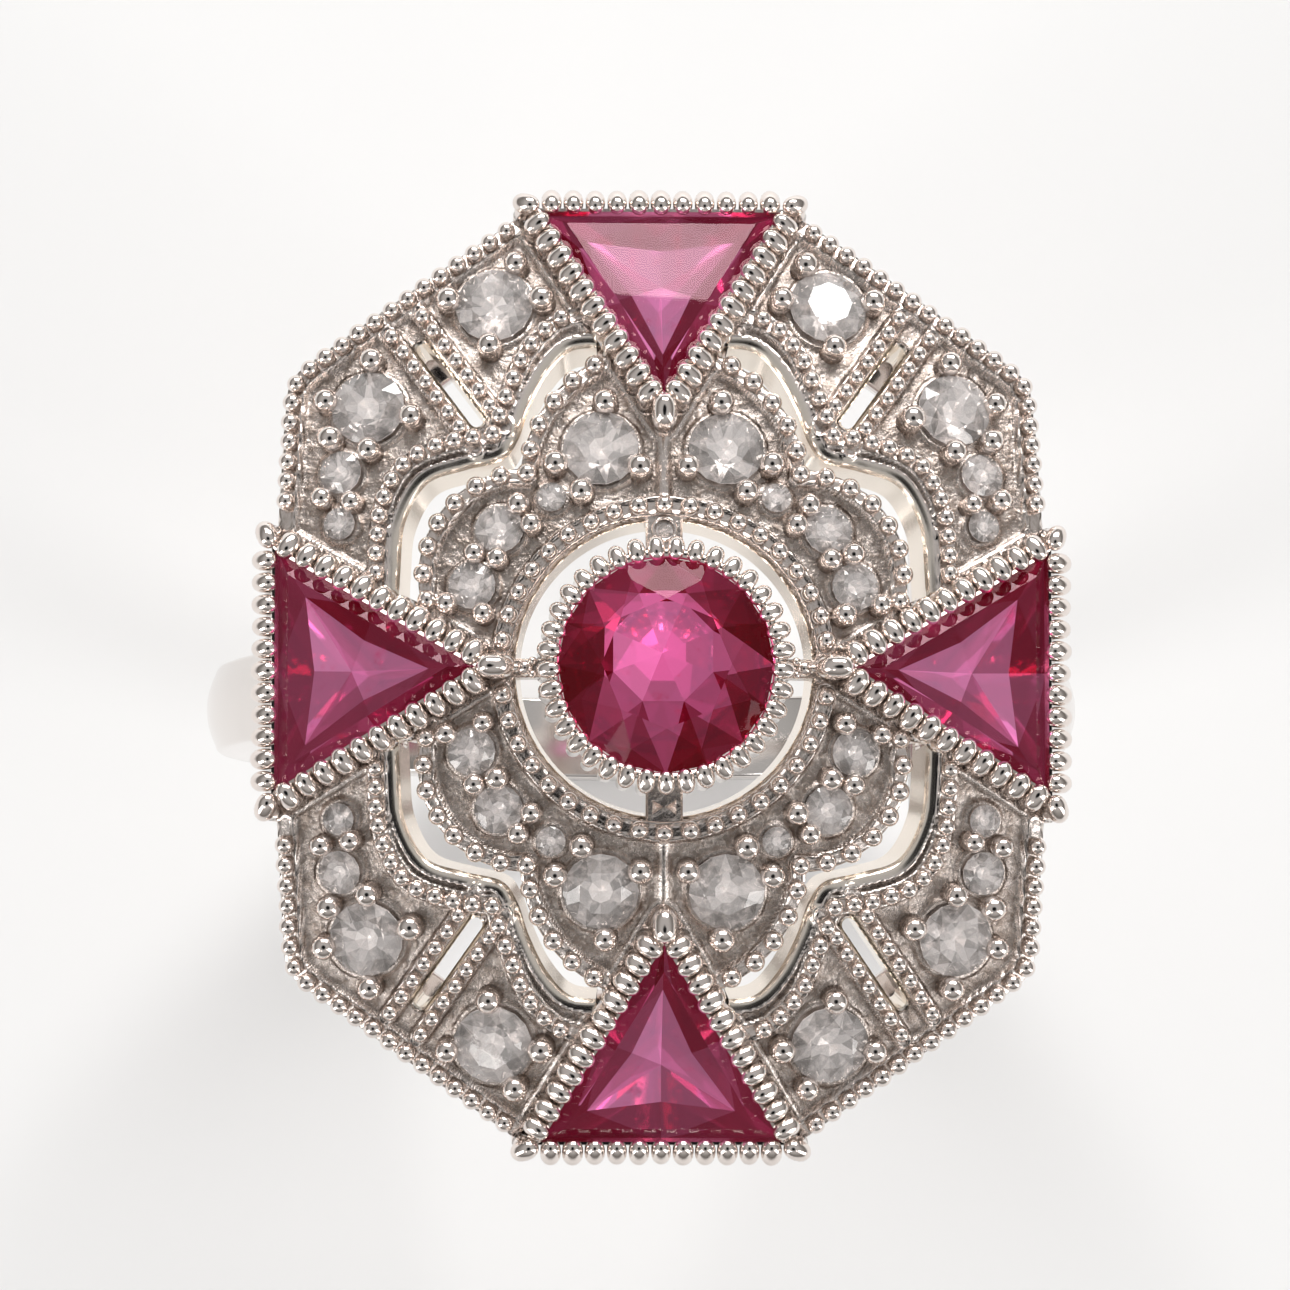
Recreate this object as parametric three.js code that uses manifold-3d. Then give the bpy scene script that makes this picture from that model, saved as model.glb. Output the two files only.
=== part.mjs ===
// Openwork art deco cocktail ring: a domed octagonal plaque on a gallery basket and a flared band.
//
// Millimetres, +Z up through the middle of the plaque, origin at the centre of the finger hole,
// +Y along the finger. East is +X and north is +Y. The plaque is drawn flat, as seen from above,
// with w for the height over its surface, and is then bent onto a shallow dome.
import * as THREE from "three";
import { mergeVertices } from "three/addons/utils/BufferGeometryUtils.js";
import Module from "manifold-3d";

const wasm = await Module();
wasm.setup();

// ---- Driving dimensions ----
const FINGER_RADIUS = 8.45; // inside of the band, US size 6 1/2
const PLAQUE_TOP = 12.6; // height of the middle of the plaque over the finger's centre
const DOME_RADIUS = 21.5; // curvature of the plaque, the same along and across the finger
const PLATE_DEPTH = 1.1; // thickness of the pierced plates
const FIELD_DROP = 0.2; // how far the stone fields lie below the rails round them
const FIT_GAP = 0.03; // clearance between pieces that the jeweller solders or sets

// Band
const BAND_THICKNESS = 1.35;
const SHOULDER_THICKNESS = 2.1;
const BAND_WIDTH = 1.9;
const SHOULDER_WIDTH = 7.2;
const BAND_CROWN = 0.2; // how much the outside bulges along the middle of the band
const SHOULDER_END_DEG = 36; // from straight up, where each shoulder stops under the plaque
const THICKEN_START_DEG = 80;
const FLARE_START_DEG = 66;
const BAND_STEPS = 56;

// Plaque outline, in the north-east quarter
const OUTLINE_NORTH = new THREE.Vector2(3.13, 9.77);
const OUTLINE_CORNER = new THREE.Vector2(7.95, 6.34);
const OUTLINE_EAST = new THREE.Vector2(8.13, 3.18);
const CORNER_ROUND = 0.5;

// Collets
const TRIANGLE_INRADIUS = 1.81; // outside of a triangular collet
const TRIANGLE_WALL = 0.32;
const TRIANGLE_RISE = 0.45; // rim over the plaque's surface
const TRIANGLE_REACH = { north: 8.38, east: 6.66 }; // plaque centre to collet centre
const CENTER_RADIUS = 2.63;
const CENTER_RISE = 0.75;
const CENTER_STONE_RADIUS = 2.3;

// Quatrefoil
const RING_OPENING = 3.15; // radius of the opening round the centre collet
const RING_RAIL = 3.445; // radius of the rail round that opening
const SIDE_LOBE = { x: 2.87, y: 1.96, r: 2.14 }; // rail line of the lobe beside an east or west collet
const END_LOBE = { x: 0, y: 3.95, r: 2.86 }; // rail line of the lobe round the north or south collet's tip
const LOBE_EDGE = 0.17; // rail line to the plate's edge

// Rails and slots
const BORDER_WIDTH = 0.42;
const RAIL_HALF = 0.21;
const STRUT_APART = 0.395; // each strut line from the middle of the slot
const SLOT_HALF = 0.15;
const SLOT_SPAN = [6.54, 8.78]; // along the outward normal of the diagonal border
const PANEL_LIP = 0.28; // bevelled lip between a panel's inner rail and the opening

// Gallery basket
const RAIL_DEPTH = 0.6;
const GALLERY_BOTTOM = 8.6; // at x = 0, just clear of the finger
const GALLERY_SAG = 80; // the rail drops by x squared over this
const POST_RADIUS = 0.36;

// Stones: quarter positions seen from above, with girdle radius
const PANEL_STONES = [
  { x: 3.55, y: 7.84, r: 0.83 },
  { x: 6.22, y: 5.62, r: 0.79 },
  { x: 6.8, y: 4.23, r: 0.46 },
  { x: 6.82, y: 3.12, r: 0.34 },
];
const PETAL_STONES = [
  { x: 1.32, y: 4.67, r: 0.8 },
  { x: 2.37, y: 3.62, r: 0.31 },
  { x: 3.46, y: 2.95, r: 0.51 },
  { x: 4.03, y: 1.75, r: 0.5 },
];
const PANEL_PRONGS = [
  [3.07, 8.72], [2.54, 7.93], [3.64, 6.9], [4.5, 7.93],
  [6.12, 6.62], [7.08, 5.76], [5.29, 5.38], [6.99, 4.94], [6.18, 4.68],
  [7.16, 3.66], [6.54, 3.56],
];
const PETAL_PRONGS = [
  [1.22, 5.64], [2.27, 4.32], [0.5, 4.24], [1.73, 3.72],
  [3.05, 3.45], [2.78, 3.02], [3.97, 2.42], [3.49, 2.3], [3.79, 1.14], [4.55, 1.36],
];
const PRONG_RADIUS = 0.22;
const BRIDGE_STONE = { y: 2.89, r: 0.17 };
const GIRDLE_SINK = 0.06; // girdles lie this far below the rails' tops

const NOON = Math.PI / 2;

// ---- Colours ----
const whiteGold = new THREE.MeshStandardMaterial({ color: 0xd8d2c8, metalness: 1, roughness: 0.24 });
const ruby = new THREE.MeshStandardMaterial({ color: 0xb3123f, metalness: 0, roughness: 0.05 });
const diamond = new THREE.MeshStandardMaterial({ color: 0xe9e7ea, metalness: 0, roughness: 0.05 });

const ring = new THREE.Group();

// ---- The dome ----
function domeNormal(x, y) {
  return new THREE.Vector3(x / DOME_RADIUS, y / DOME_RADIUS, 1).normalize();
}

function onDome(x, y, w) {
  const height = PLAQUE_TOP - (x * x + y * y) / (2 * DOME_RADIUS);
  return new THREE.Vector3(x, y, height).addScaledVector(domeNormal(x, y), w);
}

// Frame that stands on the dome at (x, y), turned so that its own +Y points away from the middle by `turn`.
function domeFrame(x, y, turn = 0) {
  const up = domeNormal(x, y);
  const ahead = new THREE.Vector3(-Math.sin(turn), Math.cos(turn), 0);
  ahead.addScaledVector(up, -ahead.dot(up)).normalize();
  const right = new THREE.Vector3().crossVectors(ahead, up);
  return new THREE.Matrix4().makeBasis(right, ahead, up).setPosition(onDome(x, y, 0));
}

function bend(geometry) {
  const p = geometry.getAttribute("position");
  for (let i = 0; i < p.count; i++) {
    const at = onDome(p.getX(i), p.getY(i), p.getZ(i));
    p.setXYZ(i, at.x, at.y, at.z);
  }
  return geometry;
}

// ---- Solids ----
function solid(geometry) {
  const bare = geometry.clone();
  bare.deleteAttribute("normal");
  bare.deleteAttribute("uv");
  const merged = mergeVertices(bare, 1e-4);
  return new wasm.Manifold(
    new wasm.Mesh({
      numProp: 3,
      vertProperties: merged.attributes.position.array,
      triVerts: new Uint32Array(merged.index.array),
    }),
  );
}

function geometryOf(manifold) {
  const m = manifold.getMesh();
  const position = new Float32Array(m.numVert * 3);
  for (let i = 0; i < m.numVert; i++) {
    position.set(m.vertProperties.subarray(i * m.numProp, i * m.numProp + 3), i * 3);
  }
  return new THREE.BufferGeometry()
    .setAttribute("position", new THREE.BufferAttribute(position, 3))
    .setIndex(new THREE.BufferAttribute(m.triVerts, 1));
}

// A flat outline extruded from w = low to w = high.
function slab(points, low, high, holes = []) {
  const shape = new THREE.Shape(points);
  shape.holes = holes.map((hole) => new THREE.Path(hole));
  return new THREE.ExtrudeGeometry(shape, { depth: high - low, bevelEnabled: false }).translate(0, 0, low);
}

function add(name, geometry, material, frame) {
  const mesh = new THREE.Mesh(geometry, material);
  mesh.name = name;
  if (frame) {
    mesh.applyMatrix4(frame);
  }
  ring.add(mesh);
  return mesh;
}

// ---- Outlines ----
function arc(center, radius, from, to, steps) {
  return Array.from({ length: steps + 1 }, (_, i) => {
    const a = from + ((to - from) * i) / steps;
    return new THREE.Vector2(center.x + radius * Math.cos(a), center.y + radius * Math.sin(a));
  });
}

function spline(pairs, steps) {
  return new THREE.SplineCurve(pairs.map(([x, y]) => new THREE.Vector2(x, y))).getPoints(steps);
}

// The line moved sideways: to the left of its direction when distance is positive.
function beside(line, distance) {
  return line.map((p, i) => {
    const before = line[Math.max(i - 1, 0)];
    const after = line[Math.min(i + 1, line.length - 1)];
    const along = after.clone().sub(before).normalize();
    return new THREE.Vector2(p.x - along.y * distance, p.y + along.x * distance);
  });
}

function strip(line, left, right) {
  return [...beside(line, left), ...beside(line, -right).reverse()];
}

// Where two circles cross, on the side farther from the origin.
function circlesCross(a, b) {
  const d = Math.hypot(b.x - a.x, b.y - a.y);
  const along = (a.r * a.r - b.r * b.r + d * d) / (2 * d);
  const off = Math.sqrt(a.r * a.r - along * along);
  const ux = (b.x - a.x) / d;
  const uy = (b.y - a.y) / d;
  const pair = [1, -1].map(
    (s) => new THREE.Vector2(a.x + ux * along - s * uy * off, a.y + uy * along + s * ux * off),
  );
  return pair.sort((p, q) => q.length() - p.length())[0];
}

const borderAlong = OUTLINE_CORNER.clone().sub(OUTLINE_NORTH).normalize();
const borderNormal = new THREE.Vector2(-borderAlong.y, borderAlong.x).normalize();
const borderReach = OUTLINE_NORTH.dot(borderNormal);
const slotFoot = new THREE.Vector2(4.53, 6.17).sub(borderNormal.clone().multiplyScalar(7.656));

function onSlot(reach, aside) {
  return slotFoot
    .clone()
    .addScaledVector(borderNormal, reach)
    .addScaledVector(borderAlong, aside);
}

function stadium(span, half) {
  const out = [];
  for (const [reach, turn] of [[span[1] - half, 0], [span[0] + half, Math.PI]]) {
    for (let i = 0; i <= 4; i++) {
      const a = turn + (Math.PI * i) / 4;
      out.push(onSlot(reach + half * Math.sin(a), half * Math.cos(a)));
    }
  }
  return out;
}

// Outer edge of a panel, from inside the north collet round to inside the east collet.
function panelBorder(inset) {
  const east = OUTLINE_EAST.clone().sub(OUTLINE_CORNER).normalize();
  const before = OUTLINE_CORNER.clone().addScaledVector(borderAlong, -CORNER_ROUND);
  const after = OUTLINE_CORNER.clone().addScaledVector(east, CORNER_ROUND);
  const round = new THREE.QuadraticBezierCurve(before, OUTLINE_CORNER, after).getPoints(4);
  const line = [OUTLINE_NORTH, OUTLINE_NORTH.clone().lerp(before, 0.35), OUTLINE_NORTH.clone().lerp(before, 0.68),
    ...round, after.clone().lerp(OUTLINE_EAST, 0.5), OUTLINE_EAST];
  return beside(line, -inset);
}

// Inner rail of a panel: two sweeps that meet at the cusp where the struts end.
const panelRailUpper = spline([[1.75, 7.62], [2.29, 7.39], [2.87, 6.76], [3.25, 5.86], [3.57, 4.95]], 10);
const panelRailLower = spline([[3.57, 4.95], [4.47, 4.81], [5.36, 4.43], [5.84, 3.67], [6.0, 2.79], [6.02, 1.75]], 12);

// Edge of the sinuous opening, on the panel's side.
const openingEdge = spline(
  [[5.6, 1.2], [5.56, 2.2], [5.46, 3.15], [5.0, 3.97], [4.2, 4.26], [3.42, 4.46], [3.08, 4.9],
    [2.82, 5.62], [2.42, 6.38], [1.88, 6.88], [1.0, 6.9]], 26);

// ---- Stones ----
// Eight-sided single cut, from the culet up; a triangle or a rounder stone takes another number of sides.
function stone(radius, crown, pavilion, table, sides) {
  const girdle = 0.04 * radius;
  const profile = [
    [0, -pavilion], [radius, -girdle], [radius, girdle], [radius * table, crown], [0, crown],
  ].map(([r, z]) => new THREE.Vector2(r, z));
  return new THREE.LatheGeometry(profile, sides).rotateX(NOON);
}

function seatCutter({ x, y, r }, depth) {
  const sides = 10;
  const reach = (r + FIT_GAP) / Math.cos(Math.PI / sides);
  const profile = [
    [0, -depth], [0.42 * reach, -depth], [reach, -GIRDLE_SINK - 0.05], [reach, 0.7], [0, 0.7],
  ].map(([a, b]) => new THREE.Vector2(a, b));
  return solid(new THREE.LatheGeometry(profile, sides).rotateX(NOON).translate(x, y, 0));
}

function prong([x, y]) {
  return solid(
    new THREE.CylinderGeometry(0.6 * PRONG_RADIUS, PRONG_RADIUS, 0.5, 5).rotateX(NOON).translate(x, y, -0.08),
  );
}

// ---- Collets ----
function triangle(inradius) {
  return [0, 1, 2].map((i) => {
    const a = -NOON + (i * 2 * Math.PI) / 3;
    return new THREE.Vector2(2 * inradius * Math.cos(a), 2 * inradius * Math.sin(a));
  });
}

function triangleCollet() {
  const inner = TRIANGLE_INRADIUS - TRIANGLE_WALL;
  const ledge = -0.25;
  const rim = solid(slab(triangle(TRIANGLE_INRADIUS), ledge, TRIANGLE_RISE, [triangle(inner)]));
  const seat = solid(slab(triangle(TRIANGLE_INRADIUS), -PLATE_DEPTH, ledge, [triangle(inner - 0.34)]));
  return geometryOf(rim.add(seat));
}

const colletPlaces = [
  { name: "north", x: 0, y: TRIANGLE_REACH.north, turn: 0 },
  { name: "east", x: TRIANGLE_REACH.east, y: 0, turn: -NOON },
  { name: "south", x: 0, y: -TRIANGLE_REACH.north, turn: Math.PI },
  { name: "west", x: -TRIANGLE_REACH.east, y: 0, turn: NOON },
];

function colletCutter(place) {
  const block = slab(triangle(TRIANGLE_INRADIUS + FIT_GAP), -3, 3);
  return solid(block.applyMatrix4(domeFrame(place.x, place.y, place.turn)));
}

function addCollets() {
  const collet = triangleCollet();
  const girdleInradius = TRIANGLE_INRADIUS - TRIANGLE_WALL - FIT_GAP;
  const gem = stone(2 * girdleInradius, 0.45, 1.3, 0.62, 3);
  for (const place of colletPlaces) {
    const frame = domeFrame(place.x, place.y, place.turn);
    add(`triangle_collet_${place.name}`, collet, whiteGold, frame);
    const seat = frame.clone().multiply(new THREE.Matrix4().makeTranslation(0, 0, 0.1));
    add(`triangle_ruby_${place.name}`, gem, ruby, seat);
  }
}

function addCenter() {
  const inner = CENTER_STONE_RADIUS + FIT_GAP;
  const profile = [
    [inner, CENTER_RISE], [inner, 0.08], [1.9, -0.02], [1.9, -PLATE_DEPTH],
    [CENTER_RADIUS - 0.22, -PLATE_DEPTH], [CENTER_RADIUS, CENTER_RISE - 0.15], [CENTER_RADIUS - 0.06, CENTER_RISE],
    [inner, CENTER_RISE],
  ].map(([r, z]) => new THREE.Vector2(r, z));
  const collet = new THREE.LatheGeometry(profile, 32).rotateX(NOON);
  add("center_collet", collet.translate(0, 0, PLAQUE_TOP), whiteGold);
  const gem = stone(CENTER_STONE_RADIUS, 0.5, 1.85, 0.58, 16);
  add("center_ruby", gem.translate(0, 0, PLAQUE_TOP + 0.5), ruby);
}

// ---- Pierced plates ----
function panel() {
  const outline = [
    new THREE.Vector2(2.7, 9.55), ...panelBorder(0), new THREE.Vector2(8.0, 2.7), ...openingEdge,
  ].reverse();
  let plate = solid(slab(outline, -PLATE_DEPTH, -FIELD_DROP, [stadium(SLOT_SPAN, SLOT_HALF)]));
  const strut = (side) => [5.9, 7.1, 8.3, 9.3].map((reach) => onSlot(reach, side * STRUT_APART));
  const rails = [
    strip(panelBorder(BORDER_WIDTH / 2), BORDER_WIDTH / 2, BORDER_WIDTH / 2),
    strip(panelRailUpper, RAIL_HALF, RAIL_HALF),
    strip(panelRailLower, RAIL_HALF, RAIL_HALF),
    strip(strut(-1), RAIL_HALF - 0.01, RAIL_HALF - 0.01),
    strip(strut(1), RAIL_HALF - 0.01, RAIL_HALF - 0.01),
  ];
  for (const rail of rails) {
    const counter = THREE.ShapeUtils.isClockWise(rail) ? rail.reverse() : rail;
    plate = plate.add(solid(slab(counter, -0.9, 0)));
  }
  for (const at of PANEL_PRONGS) {
    plate = plate.add(prong(at));
  }
  for (const place of PANEL_STONES) {
    plate = plate.subtract(seatCutter(place, PLATE_DEPTH + 0.3));
  }
  const bent = solid(bend(geometryOf(plate)));
  return geometryOf(largest(bent.subtract(colletCutter(colletPlaces[0])).subtract(colletCutter(colletPlaces[1]))));
}

// A cut can leave crumbs at a collet's corners; the piece is the biggest body.
function largest(manifold) {
  return manifold.decompose().sort((a, b) => b.volume() - a.volume())[0];
}

function mirrored(points) {
  return points.map((p) => new THREE.Vector2(-p.x, p.y)).reverse();
}

function petalPair() {
  const outerSide = { ...SIDE_LOBE, r: SIDE_LOBE.r + LOBE_EDGE };
  const outerEnd = { ...END_LOBE, r: END_LOBE.r + LOBE_EDGE };
  const notch = circlesCross(outerSide, outerEnd);
  const notchOnSide = Math.atan2(notch.y - outerSide.y, notch.x - outerSide.x);
  const notchOnEnd = Math.atan2(notch.y - outerEnd.y, notch.x - outerEnd.x);
  const lobes = [
    ...arc(outerSide, outerSide.r, THREE.MathUtils.degToRad(-27), notchOnSide, 10),
    ...arc(outerEnd, outerEnd.r, notchOnEnd, THREE.MathUtils.degToRad(70), 8).slice(1),
  ];
  const opening = arc({ x: 0, y: 0 }, RING_OPENING, Math.PI, 0, 20).slice(1, -1);
  const outline = [
    ...lobes, ...mirrored(lobes), new THREE.Vector2(-3.6, 0.1), ...opening, new THREE.Vector2(3.6, 0.1),
  ];
  let plate = solid(slab(outline, -PLATE_DEPTH, -FIELD_DROP));
  const railRing = arc({ x: 0, y: 0 }, RING_RAIL, 0.12, Math.PI - 0.12, 20);
  const sideRail = arc(SIDE_LOBE, SIDE_LOBE.r, THREE.MathUtils.degToRad(-20), THREE.MathUtils.degToRad(88), 9);
  const endRail = arc(END_LOBE, END_LOBE.r, 0.06, THREE.MathUtils.degToRad(66), 8);
  const half = LOBE_EDGE;
  const rails = [
    strip(railRing, 0.24, 0.24), strip(sideRail, half, half), strip(endRail, half, half),
    strip(mirrored(sideRail), half, half), strip(mirrored(endRail), half, half),
  ];
  for (const rail of rails) {
    const counter = THREE.ShapeUtils.isClockWise(rail) ? rail.reverse() : rail;
    plate = plate.add(solid(slab(counter, -0.9, 0)));
  }
  for (const side of [1, -1]) {
    for (const [x, y] of PETAL_PRONGS) {
      plate = plate.add(prong([side * x, y]));
    }
    for (const { x, y, r } of PETAL_STONES) {
      plate = plate.subtract(seatCutter({ x: side * x, y, r }, PLATE_DEPTH + 0.3));
    }
  }
  let bent = solid(bend(geometryOf(plate)));
  for (const place of [colletPlaces[0], colletPlaces[1], colletPlaces[3]]) {
    bent = bent.subtract(colletCutter(place));
  }
  const below = slab([[-9, -9], [9, -9], [9, 0.05], [-9, 0.05]].map(([x, y]) => new THREE.Vector2(x, y)), 0, 20);
  return geometryOf(largest(bent.subtract(solid(below))));
}

const quarters = [
  { name: "ne", sx: 1, sy: 1 }, { name: "nw", sx: -1, sy: 1 },
  { name: "se", sx: 1, sy: -1 }, { name: "sw", sx: -1, sy: -1 },
];

function addPlates() {
  const corner = panel();
  for (const { name, sx, sy } of quarters) {
    add(`frame_panel_${name}`, corner, whiteGold).scale.set(sx, sy, 1);
  }
  const petals = petalPair();
  add("quatrefoil_upper", petals, whiteGold);
  add("quatrefoil_lower", petals, whiteGold).scale.set(1, -1, 1);
}

function addDiamonds() {
  const sets = { panel: PANEL_STONES, petal: PETAL_STONES };
  for (const [set, stones] of Object.entries(sets)) {
    for (const { name, sx, sy } of quarters) {
      stones.forEach(({ x, y, r }, i) => {
        const frame = domeFrame(sx * x, sy * y);
        const gem = stone(r, 0.3 * r, 0.8 * r, 0.58, 8).translate(0, 0, -GIRDLE_SINK);
        add(`diamond_${set}_${name}_${i + 1}`, gem, diamond, frame);
      });
    }
  }
}

// ---- Bridges between the centre collet and the quatrefoil ----
function addBridges() {
  const near = CENTER_RADIUS + 0.04;
  const far = RING_OPENING - 0.06;
  const bar = (half, top) => slab(
    [[-half, near], [half, near], [half, far], [-half, far]].map(([x, y]) => new THREE.Vector2(x, y)), -0.85, top,
  );
  const seated = solid(bar(0.4, -0.05)).subtract(seatCutter({ x: 0, ...BRIDGE_STONE }, 0.35));
  add("bridge_north", bend(geometryOf(seated)), whiteGold);
  add("bridge_south", bend(bar(0.4, -0.05)), whiteGold).rotateZ(Math.PI);
  const tip = TRIANGLE_REACH.east - 2 * (TRIANGLE_INRADIUS + FIT_GAP) * 0.955;
  for (const [name, turn] of [["east", -NOON], ["west", NOON]]) {
    const half = 0.26;
    const end = Math.min(far, tip - 0.04);
    const points = [[-half, near], [half, near], [half, end], [-half, end]].map(([x, y]) => new THREE.Vector2(x, y));
    add(`bridge_${name}`, bend(slab(points, -0.85, 0)), whiteGold).rotateZ(turn);
  }
  const gem = stone(BRIDGE_STONE.r, 0.06, 0.13, 0.6, 8).translate(0, 0, -GIRDLE_SINK);
  add("diamond_bridge_north", gem, diamond, domeFrame(0, BRIDGE_STONE.y));
}

// ---- Gallery basket ----
function loop(north, diagonal, east) {
  const onDiagonalAtNorth = (diagonal - borderNormal.y * north) / borderNormal.x;
  const onDiagonalAtEast = (diagonal - borderNormal.x * east) / borderNormal.y;
  const quarter = [new THREE.Vector2(east, onDiagonalAtEast), new THREE.Vector2(onDiagonalAtNorth, north)];
  const half = [...quarter, ...mirrored(quarter)];
  return [...half, ...half.map((p) => new THREE.Vector2(-p.x, -p.y))];
}

function railLoop(grow) {
  const deep = RAIL_DEPTH + grow;
  const geometry = slab(
    loop(9.75 + grow, borderReach - 1.1 + grow, 7.05 + grow), -grow, deep,
    [loop(8.85 - grow, borderReach - 2.0 - grow, 6.15 - grow)],
  );
  const p = geometry.getAttribute("position");
  for (let i = 0; i < p.count; i++) {
    p.setZ(i, p.getZ(i) + GALLERY_BOTTOM - p.getX(i) ** 2 / GALLERY_SAG);
  }
  return solid(geometry);
}

function addGallery() {
  let basket = railLoop(0);
  const posts = [[2.35, 8.45], [5.35, 6.3], [6.6, 4.1]];
  for (const { sx, sy } of quarters) {
    for (const [x, y] of posts) {
      const post = new THREE.CylinderGeometry(POST_RADIUS, POST_RADIUS, 3, 8).rotateX(NOON);
      basket = basket.add(solid(post.translate(sx * x, sy * y, GALLERY_BOTTOM - (x * x) / GALLERY_SAG + 1.6)));
    }
  }
  const cells = [12, 14];
  const underside = new THREE.BoxGeometry(19, 23, 3, ...cells, 1).translate(0, 0, 1.5 - PLATE_DEPTH - FIT_GAP);
  add("gallery_basket", geometryOf(basket.subtract(solid(bend(underside)))), whiteGold);
}

// ---- Band ----
// How far the band has swelled towards its shoulder, from 0 at `start` to 1 where it stops, in degrees from the top.
function swell(deg, start) {
  const s = THREE.MathUtils.clamp((start - deg) / (start - SHOULDER_END_DEG), 0, 1);
  return s * s;
}

function addShank() {
  const geometry = new THREE.BoxGeometry(1, 1, 1, 1, 2, BAND_STEPS);
  const p = geometry.getAttribute("position");
  for (let i = 0; i < p.count; i++) {
    const deg = THREE.MathUtils.mapLinear(p.getZ(i), 0.5, -0.5, SHOULDER_END_DEG, 360 - SHOULDER_END_DEG);
    const fromTop = Math.min(deg, 360 - deg);
    const crown = BAND_CROWN * (1 - 4 * p.getY(i) ** 2);
    const thick = THREE.MathUtils.lerp(BAND_THICKNESS, SHOULDER_THICKNESS, swell(fromTop, THICKEN_START_DEG));
    const width = THREE.MathUtils.lerp(BAND_WIDTH, SHOULDER_WIDTH, swell(fromTop, FLARE_START_DEG));
    const out = p.getX(i) + 0.5;
    const radius = FINGER_RADIUS + out * (thick - BAND_CROWN + crown);
    const a = THREE.MathUtils.degToRad(deg);
    p.setXYZ(i, radius * Math.sin(a), p.getY(i) * width, radius * Math.cos(a));
  }
  add("shank", geometryOf(solid(geometry).subtract(railLoop(FIT_GAP))), whiteGold);
}

addShank();
addGallery();
addPlates();
addBridges();
addCollets();
addCenter();
addDiamonds();

export default ring;
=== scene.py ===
"""Openwork art deco cocktail ring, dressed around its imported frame.

The ring's own shapes are worked out in millimetres, in the frame of the part: the origin is the middle of
the finger hole, +Y runs along the finger, +X across it and +Z up through the middle of the plaque. A piece
becomes metres when its mesh is built. The plaque is drawn flat, seen from above, with w for the height over
its surface, and is laid on a shallow dome.
"""

from __future__ import annotations

import logging
import math
from dataclasses import dataclass, field
from enum import Enum
from typing import Callable, Sequence

import bmesh
import bpy
import numpy as np
from mathutils import Matrix, Vector

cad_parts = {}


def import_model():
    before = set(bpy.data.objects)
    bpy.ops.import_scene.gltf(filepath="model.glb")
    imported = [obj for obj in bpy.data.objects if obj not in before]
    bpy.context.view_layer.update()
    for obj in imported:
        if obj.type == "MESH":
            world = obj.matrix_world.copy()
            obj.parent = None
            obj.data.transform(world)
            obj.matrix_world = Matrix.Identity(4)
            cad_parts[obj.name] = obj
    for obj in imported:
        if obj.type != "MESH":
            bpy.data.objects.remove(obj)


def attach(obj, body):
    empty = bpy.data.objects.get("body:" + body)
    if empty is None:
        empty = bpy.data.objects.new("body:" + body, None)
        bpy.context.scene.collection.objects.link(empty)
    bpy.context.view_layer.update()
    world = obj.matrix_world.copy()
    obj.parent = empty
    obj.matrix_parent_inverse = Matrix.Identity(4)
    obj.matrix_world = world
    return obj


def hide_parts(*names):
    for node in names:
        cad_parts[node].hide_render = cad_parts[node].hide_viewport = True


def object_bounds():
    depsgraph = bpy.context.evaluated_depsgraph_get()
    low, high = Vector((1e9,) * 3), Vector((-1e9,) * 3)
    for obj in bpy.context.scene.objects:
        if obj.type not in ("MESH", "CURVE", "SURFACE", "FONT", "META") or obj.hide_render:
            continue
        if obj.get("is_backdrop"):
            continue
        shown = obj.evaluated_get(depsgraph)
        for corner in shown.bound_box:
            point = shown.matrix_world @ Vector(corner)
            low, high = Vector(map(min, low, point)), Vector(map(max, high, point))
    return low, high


MM = 0.001
NOON = math.pi / 2
LOG = logging.getLogger("ring")

Line = np.ndarray
Field = Callable[[np.ndarray], np.ndarray]


class Side(Enum):
    """The four places of a triangular collet, as unit steps from the middle of the plaque."""

    NORTH = (0, 1)
    EAST = (1, 0)
    SOUTH = (0, -1)
    WEST = (-1, 0)

    @property
    def turn(self) -> float:
        """Angle that turns +Y to this side."""
        return math.atan2(-self.value[0], self.value[1])

    @property
    def word(self) -> str:
        """The side's name in lower case."""
        return self.name.lower()


class Quarter(Enum):
    """The four quarters of the plaque, as mirror signs of the north-east one."""

    NE = (1, 1)
    NW = (-1, 1)
    SE = (1, -1)
    SW = (-1, -1)

    @property
    def signs(self) -> np.ndarray:
        """Factors for x and y."""
        return np.array(self.value, float)

    @property
    def word(self) -> str:
        """The quarter's name in lower case."""
        return self.name.lower()


# ---- Lines in the plan ----


def arc(center: Sequence[float], radius: float, start: float, end: float, steps: int) -> Line:
    """Points on a circle."""
    angles = np.linspace(start, end, steps + 1)
    return np.stack([center[0] + radius * np.cos(angles), center[1] + radius * np.sin(angles)], 1)


def smooth_line(knots: Sequence[Sequence[float]], steps: int) -> Line:
    """A smooth line through every knot.

    Args:
        knots: the points that the line passes.
        steps: number of steps along the whole line.

    Returns:
        The line's points.
    """
    p = np.array(knots, float)
    t = np.linspace(0, len(p) - 1, steps + 1)
    i = np.minimum(t.astype(int), len(p) - 2)
    u = (t - i)[:, None]
    here, ahead = p[i], p[i + 1]
    leave = (ahead - p[np.maximum(i - 1, 0)]) / 2
    arrive = (p[np.minimum(i + 2, len(p) - 1)] - here) / 2
    cubic = 2 * here - 2 * ahead + leave + arrive
    square = -3 * here + 3 * ahead - 2 * leave - arrive
    return ((cubic * u + square) * u + leave) * u + here


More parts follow.
